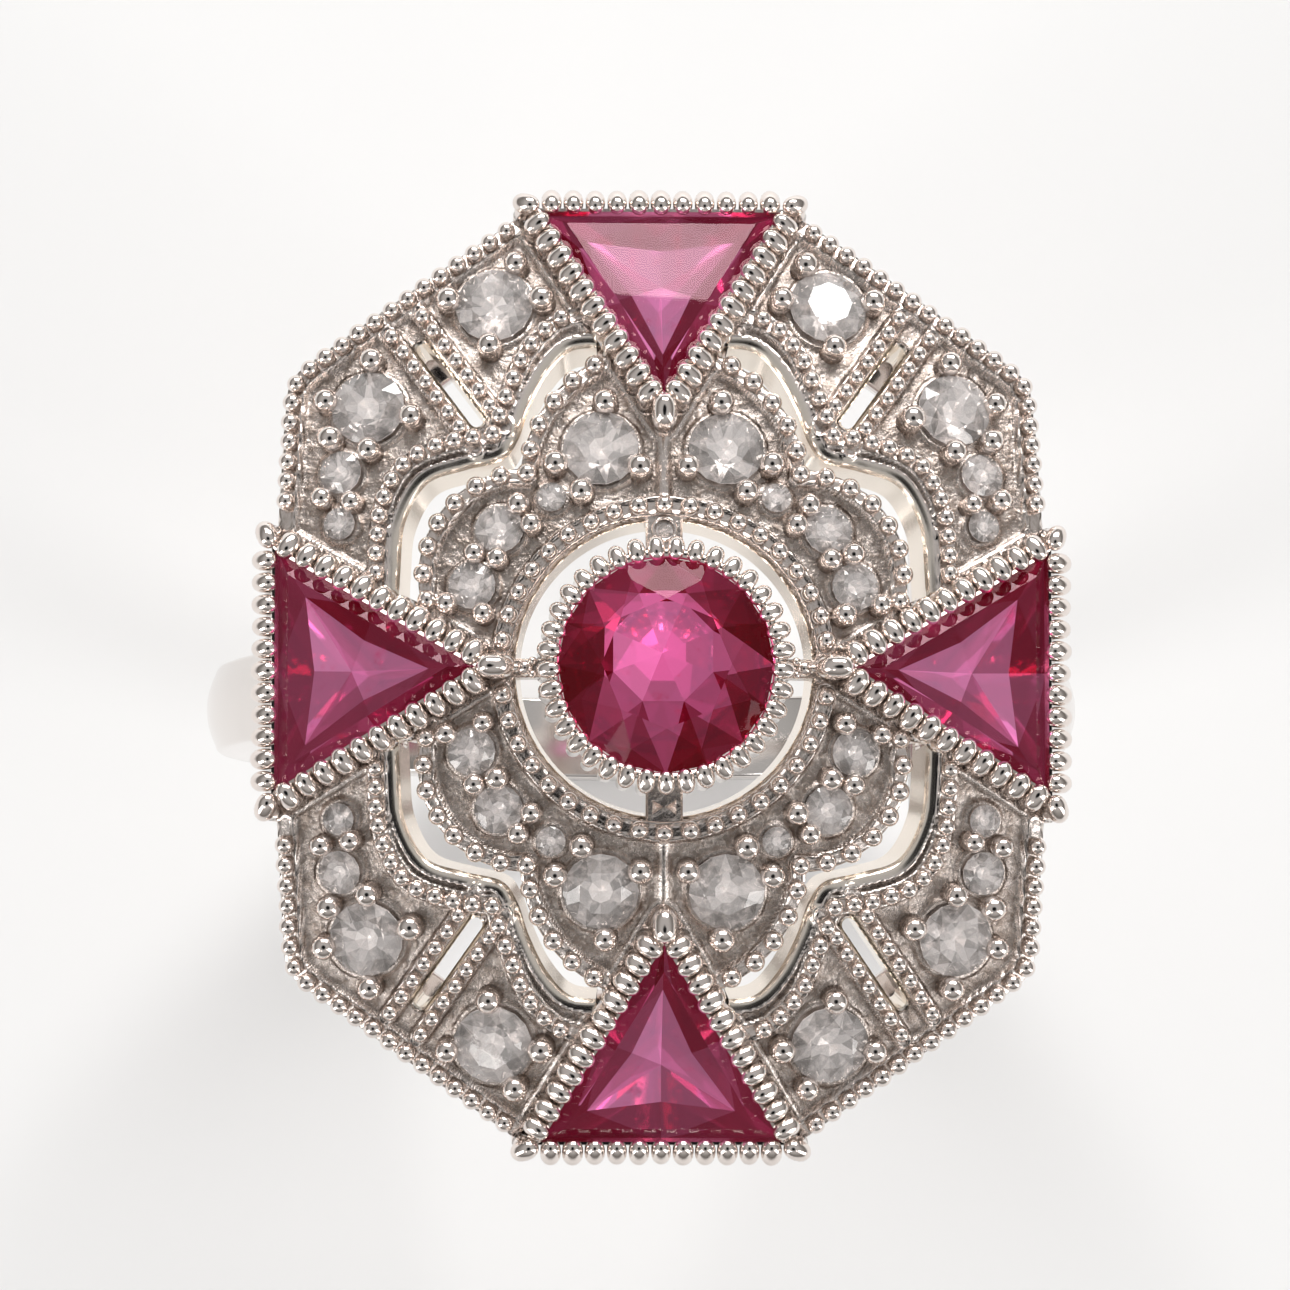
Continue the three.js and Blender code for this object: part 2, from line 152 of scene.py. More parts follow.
def beside(line: Line, distance: float) -> Line:
    """The line moved to the left of its own direction.

    Args:
        line: the line.
        distance: how far it moves.

    Returns:
        The moved line.
    """
    along = np.gradient(line, axis=0)
    along /= np.linalg.norm(along, axis=1)[:, None]
    return line + distance * np.stack([-along[:, 1], along[:, 0]], 1)


def spaced(line: Line, pitch: float, start: float = 0.0, end: float = 0.0) -> Line:
    """Points along a line, an even pitch apart.

    Args:
        line: the line to walk along.
        pitch: wanted distance between two points, which is stretched to fit.
        start: length left free at the beginning.
        end: length left free at the end.

    Returns:
        The points.
    """
    steps = np.linalg.norm(np.diff(line, axis=0), axis=1)
    length = np.concatenate([[0], np.cumsum(steps)])
    count = max(int(round((length[-1] - start - end) / pitch)), 1)
    at = np.linspace(start, length[-1] - end, count + 1)
    return np.stack([np.interp(at, length, line[:, k]) for k in range(line.shape[1])], 1)


def nearest(points: np.ndarray, line: Line) -> tuple[np.ndarray, np.ndarray]:
    """How far points lie from an open line.

    Args:
        points: places in the plan.
        line: the line.

    Returns:
        Each point's distance, and how far along the line its nearest place is.
    """
    best = np.full(len(points), np.inf)
    along = np.zeros(len(points))
    travelled = 0.0
    for a, b in zip(line[:-1], line[1:]):
        step = b - a
        length = float(np.linalg.norm(step))
        if length < 1e-9:
            continue
        t = np.clip((points - a) @ step / length**2, 0, 1)
        distance = np.linalg.norm(points - a - t[:, None] * step, axis=1)
        closer = distance < best
        best[closer] = distance[closer]
        along[closer] = travelled + t[closer] * length
        travelled += length
    return best, along


def depth_in(points: np.ndarray, ring: Line) -> np.ndarray:
    """Signed distance to a closed outline, below 0 inside it.

    Args:
        points: places in the plan.
        ring: the outline, without its first point again at its end.

    Returns:
        Each point's distance.
    """
    closed = np.vstack([ring, ring[:1]])
    distance, _ = nearest(points, closed)
    odd = np.zeros(len(points), bool)
    x, y = points[:, 0], points[:, 1]
    for (ax, ay), (bx, by) in zip(closed[:-1], closed[1:]):
        spans = (ay > y) != (by > y)
        if ay != by:
            odd ^= spans & (x < ax + (y - ay) * (bx - ax) / (by - ay))
    return np.where(odd, -distance, distance)


def ease(value: np.ndarray | float, low: float, high: float) -> np.ndarray:
    """Smooth step of a value from 0 at low to 1 at high."""
    t = np.clip((np.asarray(value) - low) / (high - low), 0, 1)
    return t * t * (3 - 2 * t)


# ---- The dome ----


@dataclass(frozen=True)
class Dome:
    """The shallow dome that the plaque is laid on.

    Args:
        top: height of its middle over the finger's centre.
        radius: radius of its curve.
    """

    top: float = 12.6
    radius: float = 21.5

    def normals(self, plan: np.ndarray) -> np.ndarray:
        """Unit normals of the dome over places in the plan."""
        raw = np.column_stack([plan / self.radius, np.ones(len(plan))])
        return raw / np.linalg.norm(raw, axis=1)[:, None]

    def lay(self, plan: np.ndarray, w: np.ndarray | float) -> np.ndarray:
        """Places at height w over the dome.

        Args:
            plan: places in the plan.
            w: height over the dome, one for all or one each.

        Returns:
            The places in space.
        """
        height = self.top - (plan**2).sum(1) / (2 * self.radius)
        rise = np.broadcast_to(np.asarray(w, float), len(plan))[:, None]
        return np.column_stack([plan, height]) + self.normals(plan) * rise

    def stand(self, x: float, y: float, turn: float = 0.0) -> tuple[np.ndarray, np.ndarray]:
        """Frame that stands on the dome.

        Args:
            x: place in the plan.
            y: place in the plan.
            turn: angle of the frame's own +Y from the part's +Y.

        Returns:
            The frame's origin, and its three axes as rows.
        """
        plan = np.array([[x, y]], float)
        up = self.normals(plan)[0]
        ahead = np.array([-math.sin(turn), math.cos(turn), 0.0])
        ahead -= up * (ahead @ up)
        ahead /= np.linalg.norm(ahead)
        return self.lay(plan, 0)[0], np.stack([np.cross(ahead, up), ahead, up])


DOME = Dome()


# ---- Meshes ----


HASH = np.random.default_rng(3).uniform(0, 1, 997).tolist()


def glint(number: int, low: float = 0.0, high: float = 1.0) -> float:
    """A facet's painted sparkle: a hashed brightness between two limits, in place of the light that the facet throws
    back.
    """
    return low + (high - low) * HASH[number % len(HASH)]


class Form:
    """Faces gathered in millimetres until they become one named piece."""

    def __init__(self) -> None:
        """Starts with nothing."""
        self.points: list[np.ndarray] = []
        self.faces: list[list[int]] = []
        self.smooth: list[bool] = []
        self.recess: list[np.ndarray] = []
        self.facet: list[float] = []
        self.finish: list[int] = []
        self.count = 0

    def add(
        self,
        points: np.ndarray,
        faces: Sequence[Sequence[int]],
        recess: np.ndarray | float = 0.0,
        smooth: bool = True,
        finish: Sequence[int] | None = None,
        painted_sparkle: Sequence[float] | None = None,
    ) -> None:
        """Adds a body.

        Args:
            points: its vertices.
            faces: its faces, as numbers of its own vertices.
            recess: how dull and how darkened each vertex is, from 0 to 1, partly tooled ground and partly painted
                shade, or how bare of plating, down to -1.
            smooth: whether its faces shade as one curve.
            finish: number of each face's material, if it isn't the first.
            painted_sparkle: each face's painted brightness, from 0 to 1, in place of the light that a facet throws
                back.
        """
        self.points.append(points)
        self.finish.extend(finish if finish is not None else [0] * len(faces))
        self.faces.extend([v + self.count for v in face] for face in faces)
        self.smooth.extend([smooth] * len(faces))
        self.facet.extend(painted_sparkle if painted_sparkle is not None else [0.5] * len(faces))
        self.recess.append(np.broadcast_to(np.asarray(recess, float), len(points)))
        self.count += len(points)

    def mirrored(self, signs: np.ndarray) -> "Form":
        """A copy mirrored in x, y or both, with its faces still pointing out.

        Args:
            signs: factors for x and y.

        Returns:
            The copy.
        """
        copy = Form()
        copy.points = [p * np.array([signs[0], signs[1], 1.0]) for p in self.points]
        flip = signs[0] * signs[1] < 0
        copy.faces = [face[::-1] if flip else face for face in self.faces]
        self.share_marks(copy)
        return copy

    def turned(self, angle: float) -> "Form":
        """A copy turned about +Z.

        Args:
            angle: how far it turns, in radians.

        Returns:
            The copy.
        """
        copy = Form()
        c, s = math.cos(angle), math.sin(angle)
        matrix = np.array([[c, s, 0], [-s, c, 0], [0, 0, 1]])
        copy.points = [p @ matrix for p in self.points]
        copy.faces = self.faces
        self.share_marks(copy)
        return copy

    def share_marks(self, copy: "Form") -> None:
        """Gives a copy everything but the places and the faces."""
        copy.smooth, copy.recess, copy.facet = self.smooth, self.recess, self.facet
        copy.finish, copy.count = self.finish, self.count

    def build(self, name: str) -> bpy.types.Object:
        """Makes the piece.

        Args:
            name: its name.

        Returns:
            The object, in metres.
        """
        mesh = bpy.data.meshes.new(name)
        mesh.from_pydata((np.vstack(self.points) * MM).tolist(), [], self.faces)
        mesh.polygons.foreach_set("use_smooth", self.smooth)
        mesh.polygons.foreach_set("material_index", self.finish)
        # Painted shade: the recess values darken the metal as well as dulling it.
        mesh.attributes.new("recess", "FLOAT", "POINT").data.foreach_set("value", np.concatenate(self.recess))
        # Painted sparkle: each face's painted brightness is kept as the facet attribute.
        mesh.attributes.new("facet", "FLOAT", "FACE").data.foreach_set("value", self.facet)
        mesh.update()
        piece = bpy.data.objects.new(name, mesh)
        bpy.context.scene.collection.objects.link(piece)
        return piece


def ball_template(subdivisions: int) -> tuple[np.ndarray, list[list[int]]]:
    """Vertices and faces of a unit ball.

    Args:
        subdivisions: how often its twenty faces are split.

    Returns:
        The vertices and the faces.
    """
    ball = bmesh.new()
    bmesh.ops.create_icosphere(ball, subdivisions=subdivisions, radius=1.0)
    points = np.array([v.co for v in ball.verts])
    faces = [[v.index for v in f.verts] for f in ball.faces]
    ball.free()
    return points, faces


BALL, BALL_FACES = ball_template(3)
BLUNT = 0.45
"""Power that keeps the ends of a drawn-out ball blunt."""


def add_ball(
    form: Form, at: np.ndarray, up: np.ndarray, radius: float, tall: float = 1.0, along: np.ndarray | None = None
) -> None:
    """Adds a polished ball that stands along a direction and is dull at its foot, which painted shade and patina
    darken.

    Args:
        form: where it goes.
        at: its centre.
        up: unit direction of its top.
        radius: its radius across.
        tall: its height over its width.
        along: what each end is drawn out by, in radii, if the ball is longer one way.
    """
    stretch = BALL + np.outer(BALL @ up, up) * (tall - 1)
    if along is not None:
        end = BALL @ (along / np.linalg.norm(along))
        stretch = stretch + np.outer(np.sign(end) * np.abs(end) ** BLUNT, along)
    # Painted shade and patina: the ball darkens towards its foot.
    foot = ease(-(BALL @ up), -0.1, 0.75)
    form.add(at + stretch * radius, BALL_FACES, recess=0.9 * foot)


def add_turned(
    form: Form, at: np.ndarray, up: np.ndarray, profile: Sequence[Sequence[float]], sides: int, recess: float = 0.0
) -> None:
    """Adds a turned body.

    Args:
        form: where it goes.
        at: the foot of its axis.
        up: unit direction of its axis.
        profile: (radius, height) from the bottom of the axis to the top of it.
        sides: number of sides.
        recess: how dull and how darkened it is, partly by painted shade.
    """
    right = np.cross(up, [0.0, 0.0, 1.0] if abs(up[2]) < 0.9 else [0.0, 1.0, 0.0])
    right /= np.linalg.norm(right)
    ahead = np.cross(up, right)
    angles = 2 * math.pi * np.arange(sides) / sides
    spokes = np.outer(np.cos(angles), right) + np.outer(np.sin(angles), ahead)
    rings = [at + spokes * r + up * h for r, h in profile[1:-1]]
    points = np.vstack([at + up * profile[0][1], *rings, at + up * profile[-1][1]])
    faces = []
    last = len(points) - 1
    for k in range(sides):
        n = (k + 1) % sides
        faces.append([0, 1 + n, 1 + k])
        for level in range(len(rings) - 1):
            base = 1 + level * sides
            faces.append([base + k, base + n, base + sides + n, base + sides + k])
        top = 1 + (len(rings) - 1) * sides
        faces.append([top + k, top + n, last])
    form.add(points, faces, recess=recess)


def loft(form: Form, rings: np.ndarray, recess: np.ndarray | float = 0.0, closed: bool = True) -> None:
    """Adds a body swept through closed sections.

    Args:
        form: where it goes.
        rings: sections x points x 3, each turning the same way.
        recess: how dull and how darkened it is, partly by painted shade, one for all or one for each point of a
            section.
        closed: whether the last section meets the first; otherwise both ends are capped.
    """
    sections, count, _ = rings.shape
    faces = []
    for s in range(sections if closed else sections - 1):
        a, b = s * count, ((s + 1) % sections) * count
        faces += [[a + k, a + (k + 1) % count, b + (k + 1) % count, b + k] for k in range(count)]
    if not closed:
        faces.append(list(range(count))[::-1])
        faces.append(list(range((sections - 1) * count, sections * count)))
    shade = np.tile(np.broadcast_to(np.asarray(recess, float), count), sections)
    form.add(rings.reshape(-1, 3), faces, recess=shade)


# ---- Pierced plates ----


@dataclass
class PiercedPlate:
    """A domed plate cut out of a fine grid, with relief on its face.

    Args:
        inside: signed distance to the plate's edge, below 0 on the metal.
        relief: height over the dome at places in the plan.
        bare: how bare of plating the face is at places in the plan, from 0 to 1.
        low: lowest x and y of the plate.
        high: highest x and y of the plate.
        depth: how far its back lies below the dome.
        pitch: size of the grid's squares.
        edge_round: how wide the rounded edge of the face is.
        edge_drop: how far the face drops at its edge.
        high_dull_and_shade: how dull the highest places are, and how much painted shade darkens them.
        wear: how bare the worn places are on the face and on the walls.
    """

    inside: Field
    relief: Field
    bare: Field
    low: tuple[float, float]
    high: tuple[float, float]
    depth: float = 1.1
    pitch: float = 0.042
    edge_round: float = 0.07
    edge_drop: float = 0.05
    high_dull_and_shade: float = 0.3
    wear: tuple[float, float] = (0.8, 0.55)

    def cut(self) -> tuple[np.ndarray, list[list[int]], list[tuple[int, int]]]:
        """Cuts the grid along the plate's edge.

        Returns:
            Places in the plan, the faces between them, and the face edges that lie on the plate's edge.
        """
        xs = np.arange(self.low[0], self.high[0], self.pitch)
        ys = np.arange(self.low[1], self.high[1], self.pitch)
        grid = np.stack(np.meshgrid(xs, ys, indexing="ij"), -1)
        f = self.inside(grid.reshape(-1, 2)).reshape(grid.shape[:2])
        f = np.where(np.abs(f) < 1e-4, 1e-4, f)
        metal = f < 0
        number = np.full(f.shape, -1)
        number[metal] = np.arange(metal.sum())
        plan = list(grid[metal])
        corners = [metal[:-1, :-1], metal[1:, :-1], metal[1:, 1:], metal[:-1, 1:]]
        kept = sum(c.astype(int) for c in corners)
        i, j = np.nonzero(kept == 4)
        whole = np.stack([number[i, j], number[i + 1, j], number[i + 1, j + 1], number[i, j + 1]], 1)
        faces = whole.tolist()
        crossings: dict[tuple, int] = {}
        rim: list[tuple[int, int]] = []

        def crossing(a: tuple[int, int], b: tuple[int, int]) -> int:
            """Finds where the edge crosses the side between two corners.

            Args:
                a: one corner.
                b: the other.

            Returns:
                Number of the crossing's place.
            """
            key = (min(a, b), max(a, b))
            if key not in crossings:
                t = f[a] / (f[a] - f[b])
                crossings[key] = len(plan)
                plan.append(grid[a] + t * (grid[b] - grid[a]))
            return crossings[key]

        for i, j in np.argwhere((kept > 0) & (kept < 4)):
            walk = [(i, j), (i + 1, j), (i + 1, j + 1), (i, j + 1)]
            face: list[int] = []
            leaves: list[int] = []
            enters: list[int] = []
            for a, b in zip(walk, walk[1:] + walk[:1]):
                if metal[a]:
                    face.append(int(number[a]))
                if metal[a] != metal[b]:
                    face.append(crossing(a, b))
                    (leaves if metal[a] else enters).append(face[-1])
            faces.append(face)
            for leave in leaves:
                after = face[(face.index(leave) + 1) % len(face)]
                if after in enters:
                    rim.append((leave, after))
        return np.array(plan), faces, rim

    def form(self) -> Form:
        """The plate: its face with the relief, its back, and the walls between them.

        Returns:
            The plate.
        """
        plan, faces, rim = self.cut()
        edge = -self.inside(plan)
        w = self.relief(plan)
        # Painted shade: the recessed fields are darkened fully, the high places less and the edges not. Part of it is
        # the tooled ground's own patina.
        dull = (self.high_dull_and_shade + (1 - self.high_dull_and_shade) * ease(-w, 0.1, 0.2)) * ease(edge, 0.02, 0.1)
        w = w - self.edge_drop * (1 - ease(edge, 0, self.edge_round))
        form = Form()
        form.add(DOME.lay(plan, w), faces, recess=dull - self.wear[0] * self.bare(plan))
        # Painted shade: the back is darkened.
        form.add(DOME.lay(plan, -self.depth), [face[::-1] for face in faces], recess=0.25)
        around = sorted({v for pair in rim for v in pair})
        place = {v: k for k, v in enumerate(around)}
        count = len(around)
        top = DOME.lay(plan[around], w[around])
        back = DOME.lay(plan[around], -self.depth)
        walls = [[place[b], place[a], place[a] + count, place[b] + count] for a, b in rim]
        worn = -self.wear[1] * np.tile(self.bare(plan[around]), 2)
        form.add(np.vstack([top, back]), walls, recess=worn)
        return form


@dataclass(frozen=True)
class Stone:
    """A set stone of the north-east quarter.

    Args:
        x: its place in the plan.
        y: its place in the plan.
        r: its girdle radius.
    """

    x: float
    y: float
    r: float


@dataclass(frozen=True)
class Rail:
    """A raised rail with a bed for a row of beads.

    Args:
        line: middle of the rail.
        half: half its width.
        pitch: distance between two beads.
        bead: radius of a bead.
        trim: length without beads at the start and at the end.
        bed_depth: depth of the bed that the beads lie in.
        nick_depth: depth of the nicks in the bed's edges, between two beads.
    """

    line: Line
    half: float
    pitch: float
    bead: float
    trim: tuple[float, float] = (0.0, 0.0)
    bed_depth: float = 0.07
    nick_depth: float = 0.035

    def raise_on(self, plan: np.ndarray, w: np.ndarray) -> np.ndarray:
        """Lifts a relief to this rail's crown.

        Args:
            plan: places in the plan.
            w: the relief so far.

        Returns:
            The relief with this rail on it.
        """
        away, along = nearest(plan, self.line)
        bed = -self.bed_depth * (1 - ease(away, 0.55 * self.half, 0.8 * self.half))
        nick = -self.nick_depth * (0.5 + 0.5 * np.cos(2 * math.pi * (along - self.trim[0]) / self.pitch))
        crown = bed + nick * ease(away, 0.4 * self.half, 0.7 * self.half)
        side = 1 - ease(away, self.half - 0.045, self.half + 0.03)
        return w + (crown - w) * side

    def string(self, form: Form, rng: np.random.Generator) -> None:
        """Sets the row of beads on the rail.

        Args:
            form: where they go.
            rng: source of small differences.
        """
        plan = spaced(self.line, self.pitch, *self.trim)
        plan = plan + rng.normal(0, 0.006, plan.shape)
        ups = DOME.normals(plan)
        for at, up in zip(DOME.lay(plan, 0.35 * self.bead), ups):
            add_ball(form, at, up, self.bead * rng.uniform(0.96, 1.04))


@dataclass
class Plaque:
    """The four corner panels and the two halves of the quatrefoil.

    Args:
        north: where the border leaves the north collet.
        corner: corner of the border in the north-east.
        east: where the border meets the east collet.
        corner_round: length cut from each side of that corner.
        field_drop: how far the stone fields lie below the rails.
        slot_span: reach of the slot along the diagonal border's normal.
        slot_half: half the slot's width.
        slot_foot: a place on the slot's middle line, and its reach.
        strut_apart: each strut's distance from the middle of the slot.
        lip: width of the bevelled lip beside the sinuous opening.
        ring_opening: radius of the opening round the centre collet.
        side_lobe: middle and radius of the rail of the quatrefoil's side lobe.
        end_lobe: the same of its end lobe.
        collet_inradius: distance from a triangular collet's middle to the outside of its wall.
        collet_reach: distance of its middle from the middle of the plaque, east and north.
        ledge: nearest and farthest reach of the ledge beside a triangular collet.
        prong_base: radius of a prong beside the smallest stone.
        prong_growth: how much a prong's radius grows with the stone's.
        prong_rise: height of a prong's ball over the dome.
        panel_stones: stones of the north-east panel.
        petal_stones: stones of the quatrefoil's north-east quarter.
        panel_prongs: prongs of the panel.
        petal_prongs: prongs of the quatrefoil's quarter.
        opening_knots: edge of the sinuous opening, on the panel's side.
        upper_rail_knots: inner rail from the north collet to the cusp.
        lower_rail_knots: inner rail from the cusp to the east collet.
    """

    north: tuple[float, float] = (3.13, 9.77)
    corner: tuple[float, float] = (7.95, 6.34)
    east: tuple[float, float] = (8.13, 3.18)
    corner_round: float = 0.5
    field_drop: float = 0.24
    slot_span: tuple[float, float] = (6.54, 8.78)
    slot_half: float = 0.15
    slot_foot: tuple[float, float, float] = (4.53, 6.17, 7.656)
    strut_apart: float = 0.395
    lip: float = 0.28
    ring_opening: float = 3.15
    side_lobe: tuple[float, float, float] = (2.87, 1.96, 2.14)
    end_lobe: tuple[float, float, float] = (0.0, 3.95, 2.86)
    collet_inradius: float = 1.81
    collet_reach: tuple[float, float] = (6.66, 8.38)
    ledge: tuple[float, float] = (0.26, 0.36)
    prong_base: float = 0.2
    prong_growth: float = 0.085
    prong_rise: float = 0.08
    panel_stones: tuple[Stone, ...] = (
        Stone(3.55, 7.84, 0.83), Stone(6.22, 5.62, 0.79), Stone(6.8, 4.23, 0.46), Stone(6.82, 3.12, 0.34),
    )
    petal_stones: tuple[Stone, ...] = (
        Stone(1.32, 4.67, 0.8), Stone(2.37, 3.62, 0.31), Stone(3.46, 2.95, 0.51), Stone(4.03, 1.75, 0.5),
    )
    panel_prongs: tuple[tuple[float, float], ...] = (
        (3.07, 8.72), (2.54, 7.93), (3.64, 6.9), (4.5, 7.93), (6.12, 6.62), (7.08, 5.76),
        (5.29, 5.38), (6.99, 4.94), (6.18, 4.68), (7.16, 3.66), (6.54, 3.56),
    )
    petal_prongs: tuple[tuple[float, float], ...] = (
        (1.22, 5.64), (2.27, 4.32), (0.5, 4.24), (1.73, 3.72), (3.05, 3.45),
        (2.78, 3.02), (3.97, 2.42), (3.49, 2.3), (3.79, 1.14), (4.55, 1.36),
    )
    opening_knots: tuple[tuple[float, float], ...] = (
        (5.6, 1.2), (5.56, 2.2), (5.46, 3.15), (5.0, 3.97), (4.2, 4.26), (3.42, 4.46),
        (3.08, 4.9), (2.82, 5.62), (2.42, 6.38), (1.88, 6.88), (1.0, 6.9),
    )
    upper_rail_knots: tuple[tuple[float, float], ...] = (
        (1.75, 7.62), (2.29, 7.39), (2.87, 6.76), (3.25, 5.86), (3.57, 4.95),
    )
    lower_rail_knots: tuple[tuple[float, float], ...] = (
        (3.57, 4.95), (4.47, 4.81), (5.36, 4.43), (5.84, 3.67), (6.0, 2.79), (6.02, 1.75),
    )

    def collet_footprint(self, side: Side) -> Line:
        """What a triangular collet takes out of a plate.

        Args:
            side: the collet's side of the plaque.

        Returns:
            Three corners in the plan.
        """
        reach = self.collet_reach[0] if side.value[0] else self.collet_reach[1]
        origin, axes = DOME.stand(side.value[0] * reach, side.value[1] * reach, side.turn)
        angles = -NOON + np.arange(3) * 2 * math.pi / 3
        spread = 2 * (self.collet_inradius - 0.16)
        local = np.column_stack([spread * np.cos(angles), spread * np.sin(angles), np.full(3, -0.15)])
        return (origin + local @ axes)[:, :2]

    def border(self, inset: float) -> Line:
        """Outer edge of the north-east panel.

        Args:
            inset: how far it is moved inwards.

        Returns:
            The line from the north collet to the east one.
        """
        north, corner, east = (np.array(p) for p in (self.north, self.corner, self.east))
        before = corner + (north - corner) / np.linalg.norm(north - corner) * self.corner_round
        after = corner + (east - corner) / np.linalg.norm(east - corner) * self.corner_round
        t = np.linspace(0, 1, 13)[:, None]
        bend = (1 - t) ** 2 * before + 2 * t * (1 - t) * corner + t**2 * after
        first = north + (before - north) * np.linspace(0, 1, 12)[:-1, None]
        last = after + (east - after) * np.linspace(0, 1, 8)[1:, None]
        return beside(np.vstack([first, bend, last]), -inset)

    def on_slot(self, reach: float, aside: float) -> np.ndarray:
        """A place beside the slot.

        Args:
            reach: how far out it lies, along the slot.
            aside: how far it lies aside of the slot's middle.

        Returns:
            The place in the plan.
        """
        along = np.array(self.corner) - np.array(self.north)
        along /= np.linalg.norm(along)
        normal = np.array([-along[1], along[0]])
        x, y, out = self.slot_foot
        foot = np.array([x, y]) - normal * out
        return foot + normal * reach + along * aside

    def slot(self) -> Line:
        """Outline of the slot between the two struts.

        Returns:
            Its corners in the plan.
        """
        half = self.slot_half
        ends = [(self.slot_span[1] - half, 0.0), (self.slot_span[0] + half, math.pi)]
        turns = [(reach, start + math.pi * k / 10) for reach, start in ends for k in range(11)]
        return np.array([self.on_slot(reach + half * math.sin(a), half * math.cos(a)) for reach, a in turns])

    def panel_rails(self) -> list[Rail]:
        """Rails of the north-east panel.

        Returns:
            The rails.
        """
        struts = [
            np.array([self.on_slot(reach, side * self.strut_apart) for reach in (6.1, 7.0, 8.0, 9.25)])
            for side in (-1, 1)
        ]
        return [
            Rail(self.border(0.19), 0.21, 0.425, 0.198, (0.3, 0.45)),
            Rail(smooth_line(self.upper_rail_knots, 60), 0.21, 0.42, 0.192, (0.4, 0.0)),
            Rail(smooth_line(self.lower_rail_knots, 70), 0.21, 0.42, 0.192, (0.42, 0.3)),
            *[Rail(line, 0.19, 0.4, 0.178, (0.55, 0.15)) for line in struts],
        ]

    def panel(self, rng: np.random.Generator) -> Form:
        """The north-east corner panel with its rails, beads and prongs.

        Args:
            rng: source of small differences.

        Returns:
            The panel.
        """
        edge = smooth_line(self.opening_knots, 150)
        outline = np.vstack([[[2.7, 9.55]], self.border(0), [[8.0, 2.7]], edge])
        cutters = [self.slot(), self.collet_footprint(Side.NORTH), self.collet_footprint(Side.EAST)]
        rails = self.panel_rails()

        def inside(plan: np.ndarray) -> np.ndarray:
            """Signed distance to the panel's edge."""
            return np.maximum.reduce([depth_in(plan, outline), *[-depth_in(plan, c) for c in cutters]])

        def relief(plan: np.ndarray) -> np.ndarray:
            """Fields, lip, rails and seats of the panel.

            Args:
                plan: places in the plan.

            Returns:
                Each place's height over the plate.
            """
            away, _ = nearest(plan, edge)
            lip = -0.06 - 0.1 * (1 - away / self.lip) ** 2
            w = np.where(away < self.lip, lip, -self.field_drop)
            w = self.raise_ledges(plan, w, (Side.NORTH, Side.EAST))
            for rail in rails:
                w = rail.raise_on(plan, w)
            return self.sink_seats(plan, w, self.panel_stones)

        def bare(plan: np.ndarray) -> np.ndarray:
            """Worn plating on the lip and in the slot."""
            lip = 1 - ease(nearest(plan, edge)[0], 0.14, self.lip)
            return np.maximum(lip, 1 - ease(depth_in(plan, self.slot()), 0.02, 0.08))

        form = PiercedPlate(inside, relief, bare, (1.4, 1.4), (8.3, 10.1)).form()
        for rail in rails:
            rail.string(form, rng)
        self.add_prongs(form, self.panel_prongs, self.panel_stones, rng)
        return form

    def raise_ledges(self, plan: np.ndarray, w: np.ndarray, sides: Sequence[Side]) -> np.ndarray:
        """Raises a thin ledge on a plate beside each triangular collet.

        Args:
            plan: places in the plan.
            w: the relief so far.
            sides: the collets that the plate meets.

        Returns:
            The relief with the ledges.
        """
        for side in sides:
            away = depth_in(plan, self.collet_footprint(side))
            low, high = self.ledge
            shelf = 1 - ease(away, high, high + 0.06)
            w = w + np.maximum(-0.19 + 0.06 * ease(away, low - 0.04, low) - w, 0) * shelf
        return w

    def sink_seats(self, plan: np.ndarray, w: np.ndarray, stones: Sequence[Stone]) -> np.ndarray:
        """Sinks a conical seat under each stone and leaves a bright collar round it.

        Args:
            plan: places in the plan.
            w: the relief so far.
            stones: the stones that are set.

        Returns:
            The relief with the seats.
        """
        for stone in stones:
            away = np.hypot(plan[:, 0] - stone.x, plan[:, 1] - stone.y)
            collar = -0.15 - 0.9 * np.abs(away - stone.r - 0.03)
            w = np.where(away < stone.r + 0.12, np.maximum(np.minimum(w, -0.14), collar), w)
            w = np.where(away < stone.r + 0.015, -0.16 - 0.75 * (stone.r - away), w)
        return w

    def petals(self, rng: np.random.Generator) -> Form:
        """The north half of the quatrefoil, with its rails, beads and prongs.

        Args:
            rng: source of small differences.

        Returns:
            The half.
        """
        side_center, side_r = np.array(self.side_lobe[:2]), self.side_lobe[2]
        end_center, end_r = np.array(self.end_lobe[:2]), self.end_lobe[2]
        plate_edge = 0.17
        notch = self.notch(side_center, side_r + plate_edge, end_center, end_r + plate_edge)
        at_side = math.atan2(*(notch - side_center)[::-1])
        at_end = math.atan2(*(notch - end_center)[::-1])
        lobes = np.vstack([
            arc(side_center, side_r + plate_edge, math.radians(-30), at_side, 40),
            arc(end_center, end_r + plate_edge, at_end, NOON, 40)[1:],
        ])
        outline = np.vstack([lobes, (lobes * [-1, 1])[::-1][1:], [[-3.6, 0.0]], [[3.6, 0.0]]])
        cutters = [self.collet_footprint(s) for s in (Side.NORTH, Side.EAST, Side.WEST)]
        meet = self.notch(side_center, side_r, end_center, end_r)
        end_start = math.atan2(*(meet - end_center)[::-1])
        side_end = math.atan2(*(meet - side_center)[::-1])
        side = arc(side_center, side_r, math.radians(-22), side_end, 40)
        end = arc(end_center, end_r, end_start, math.radians(64), 40)
        rails = [Rail(arc((0, 0), 3.43, 0.14, math.pi - 0.14, 100), 0.22, 0.53, 0.198, (0.1, 0.1))]
        for sign in ([1, 1], [-1, 1]):
            rails.append(Rail(side * sign, 0.18, 0.53, 0.21, (0.3, 0.0)))
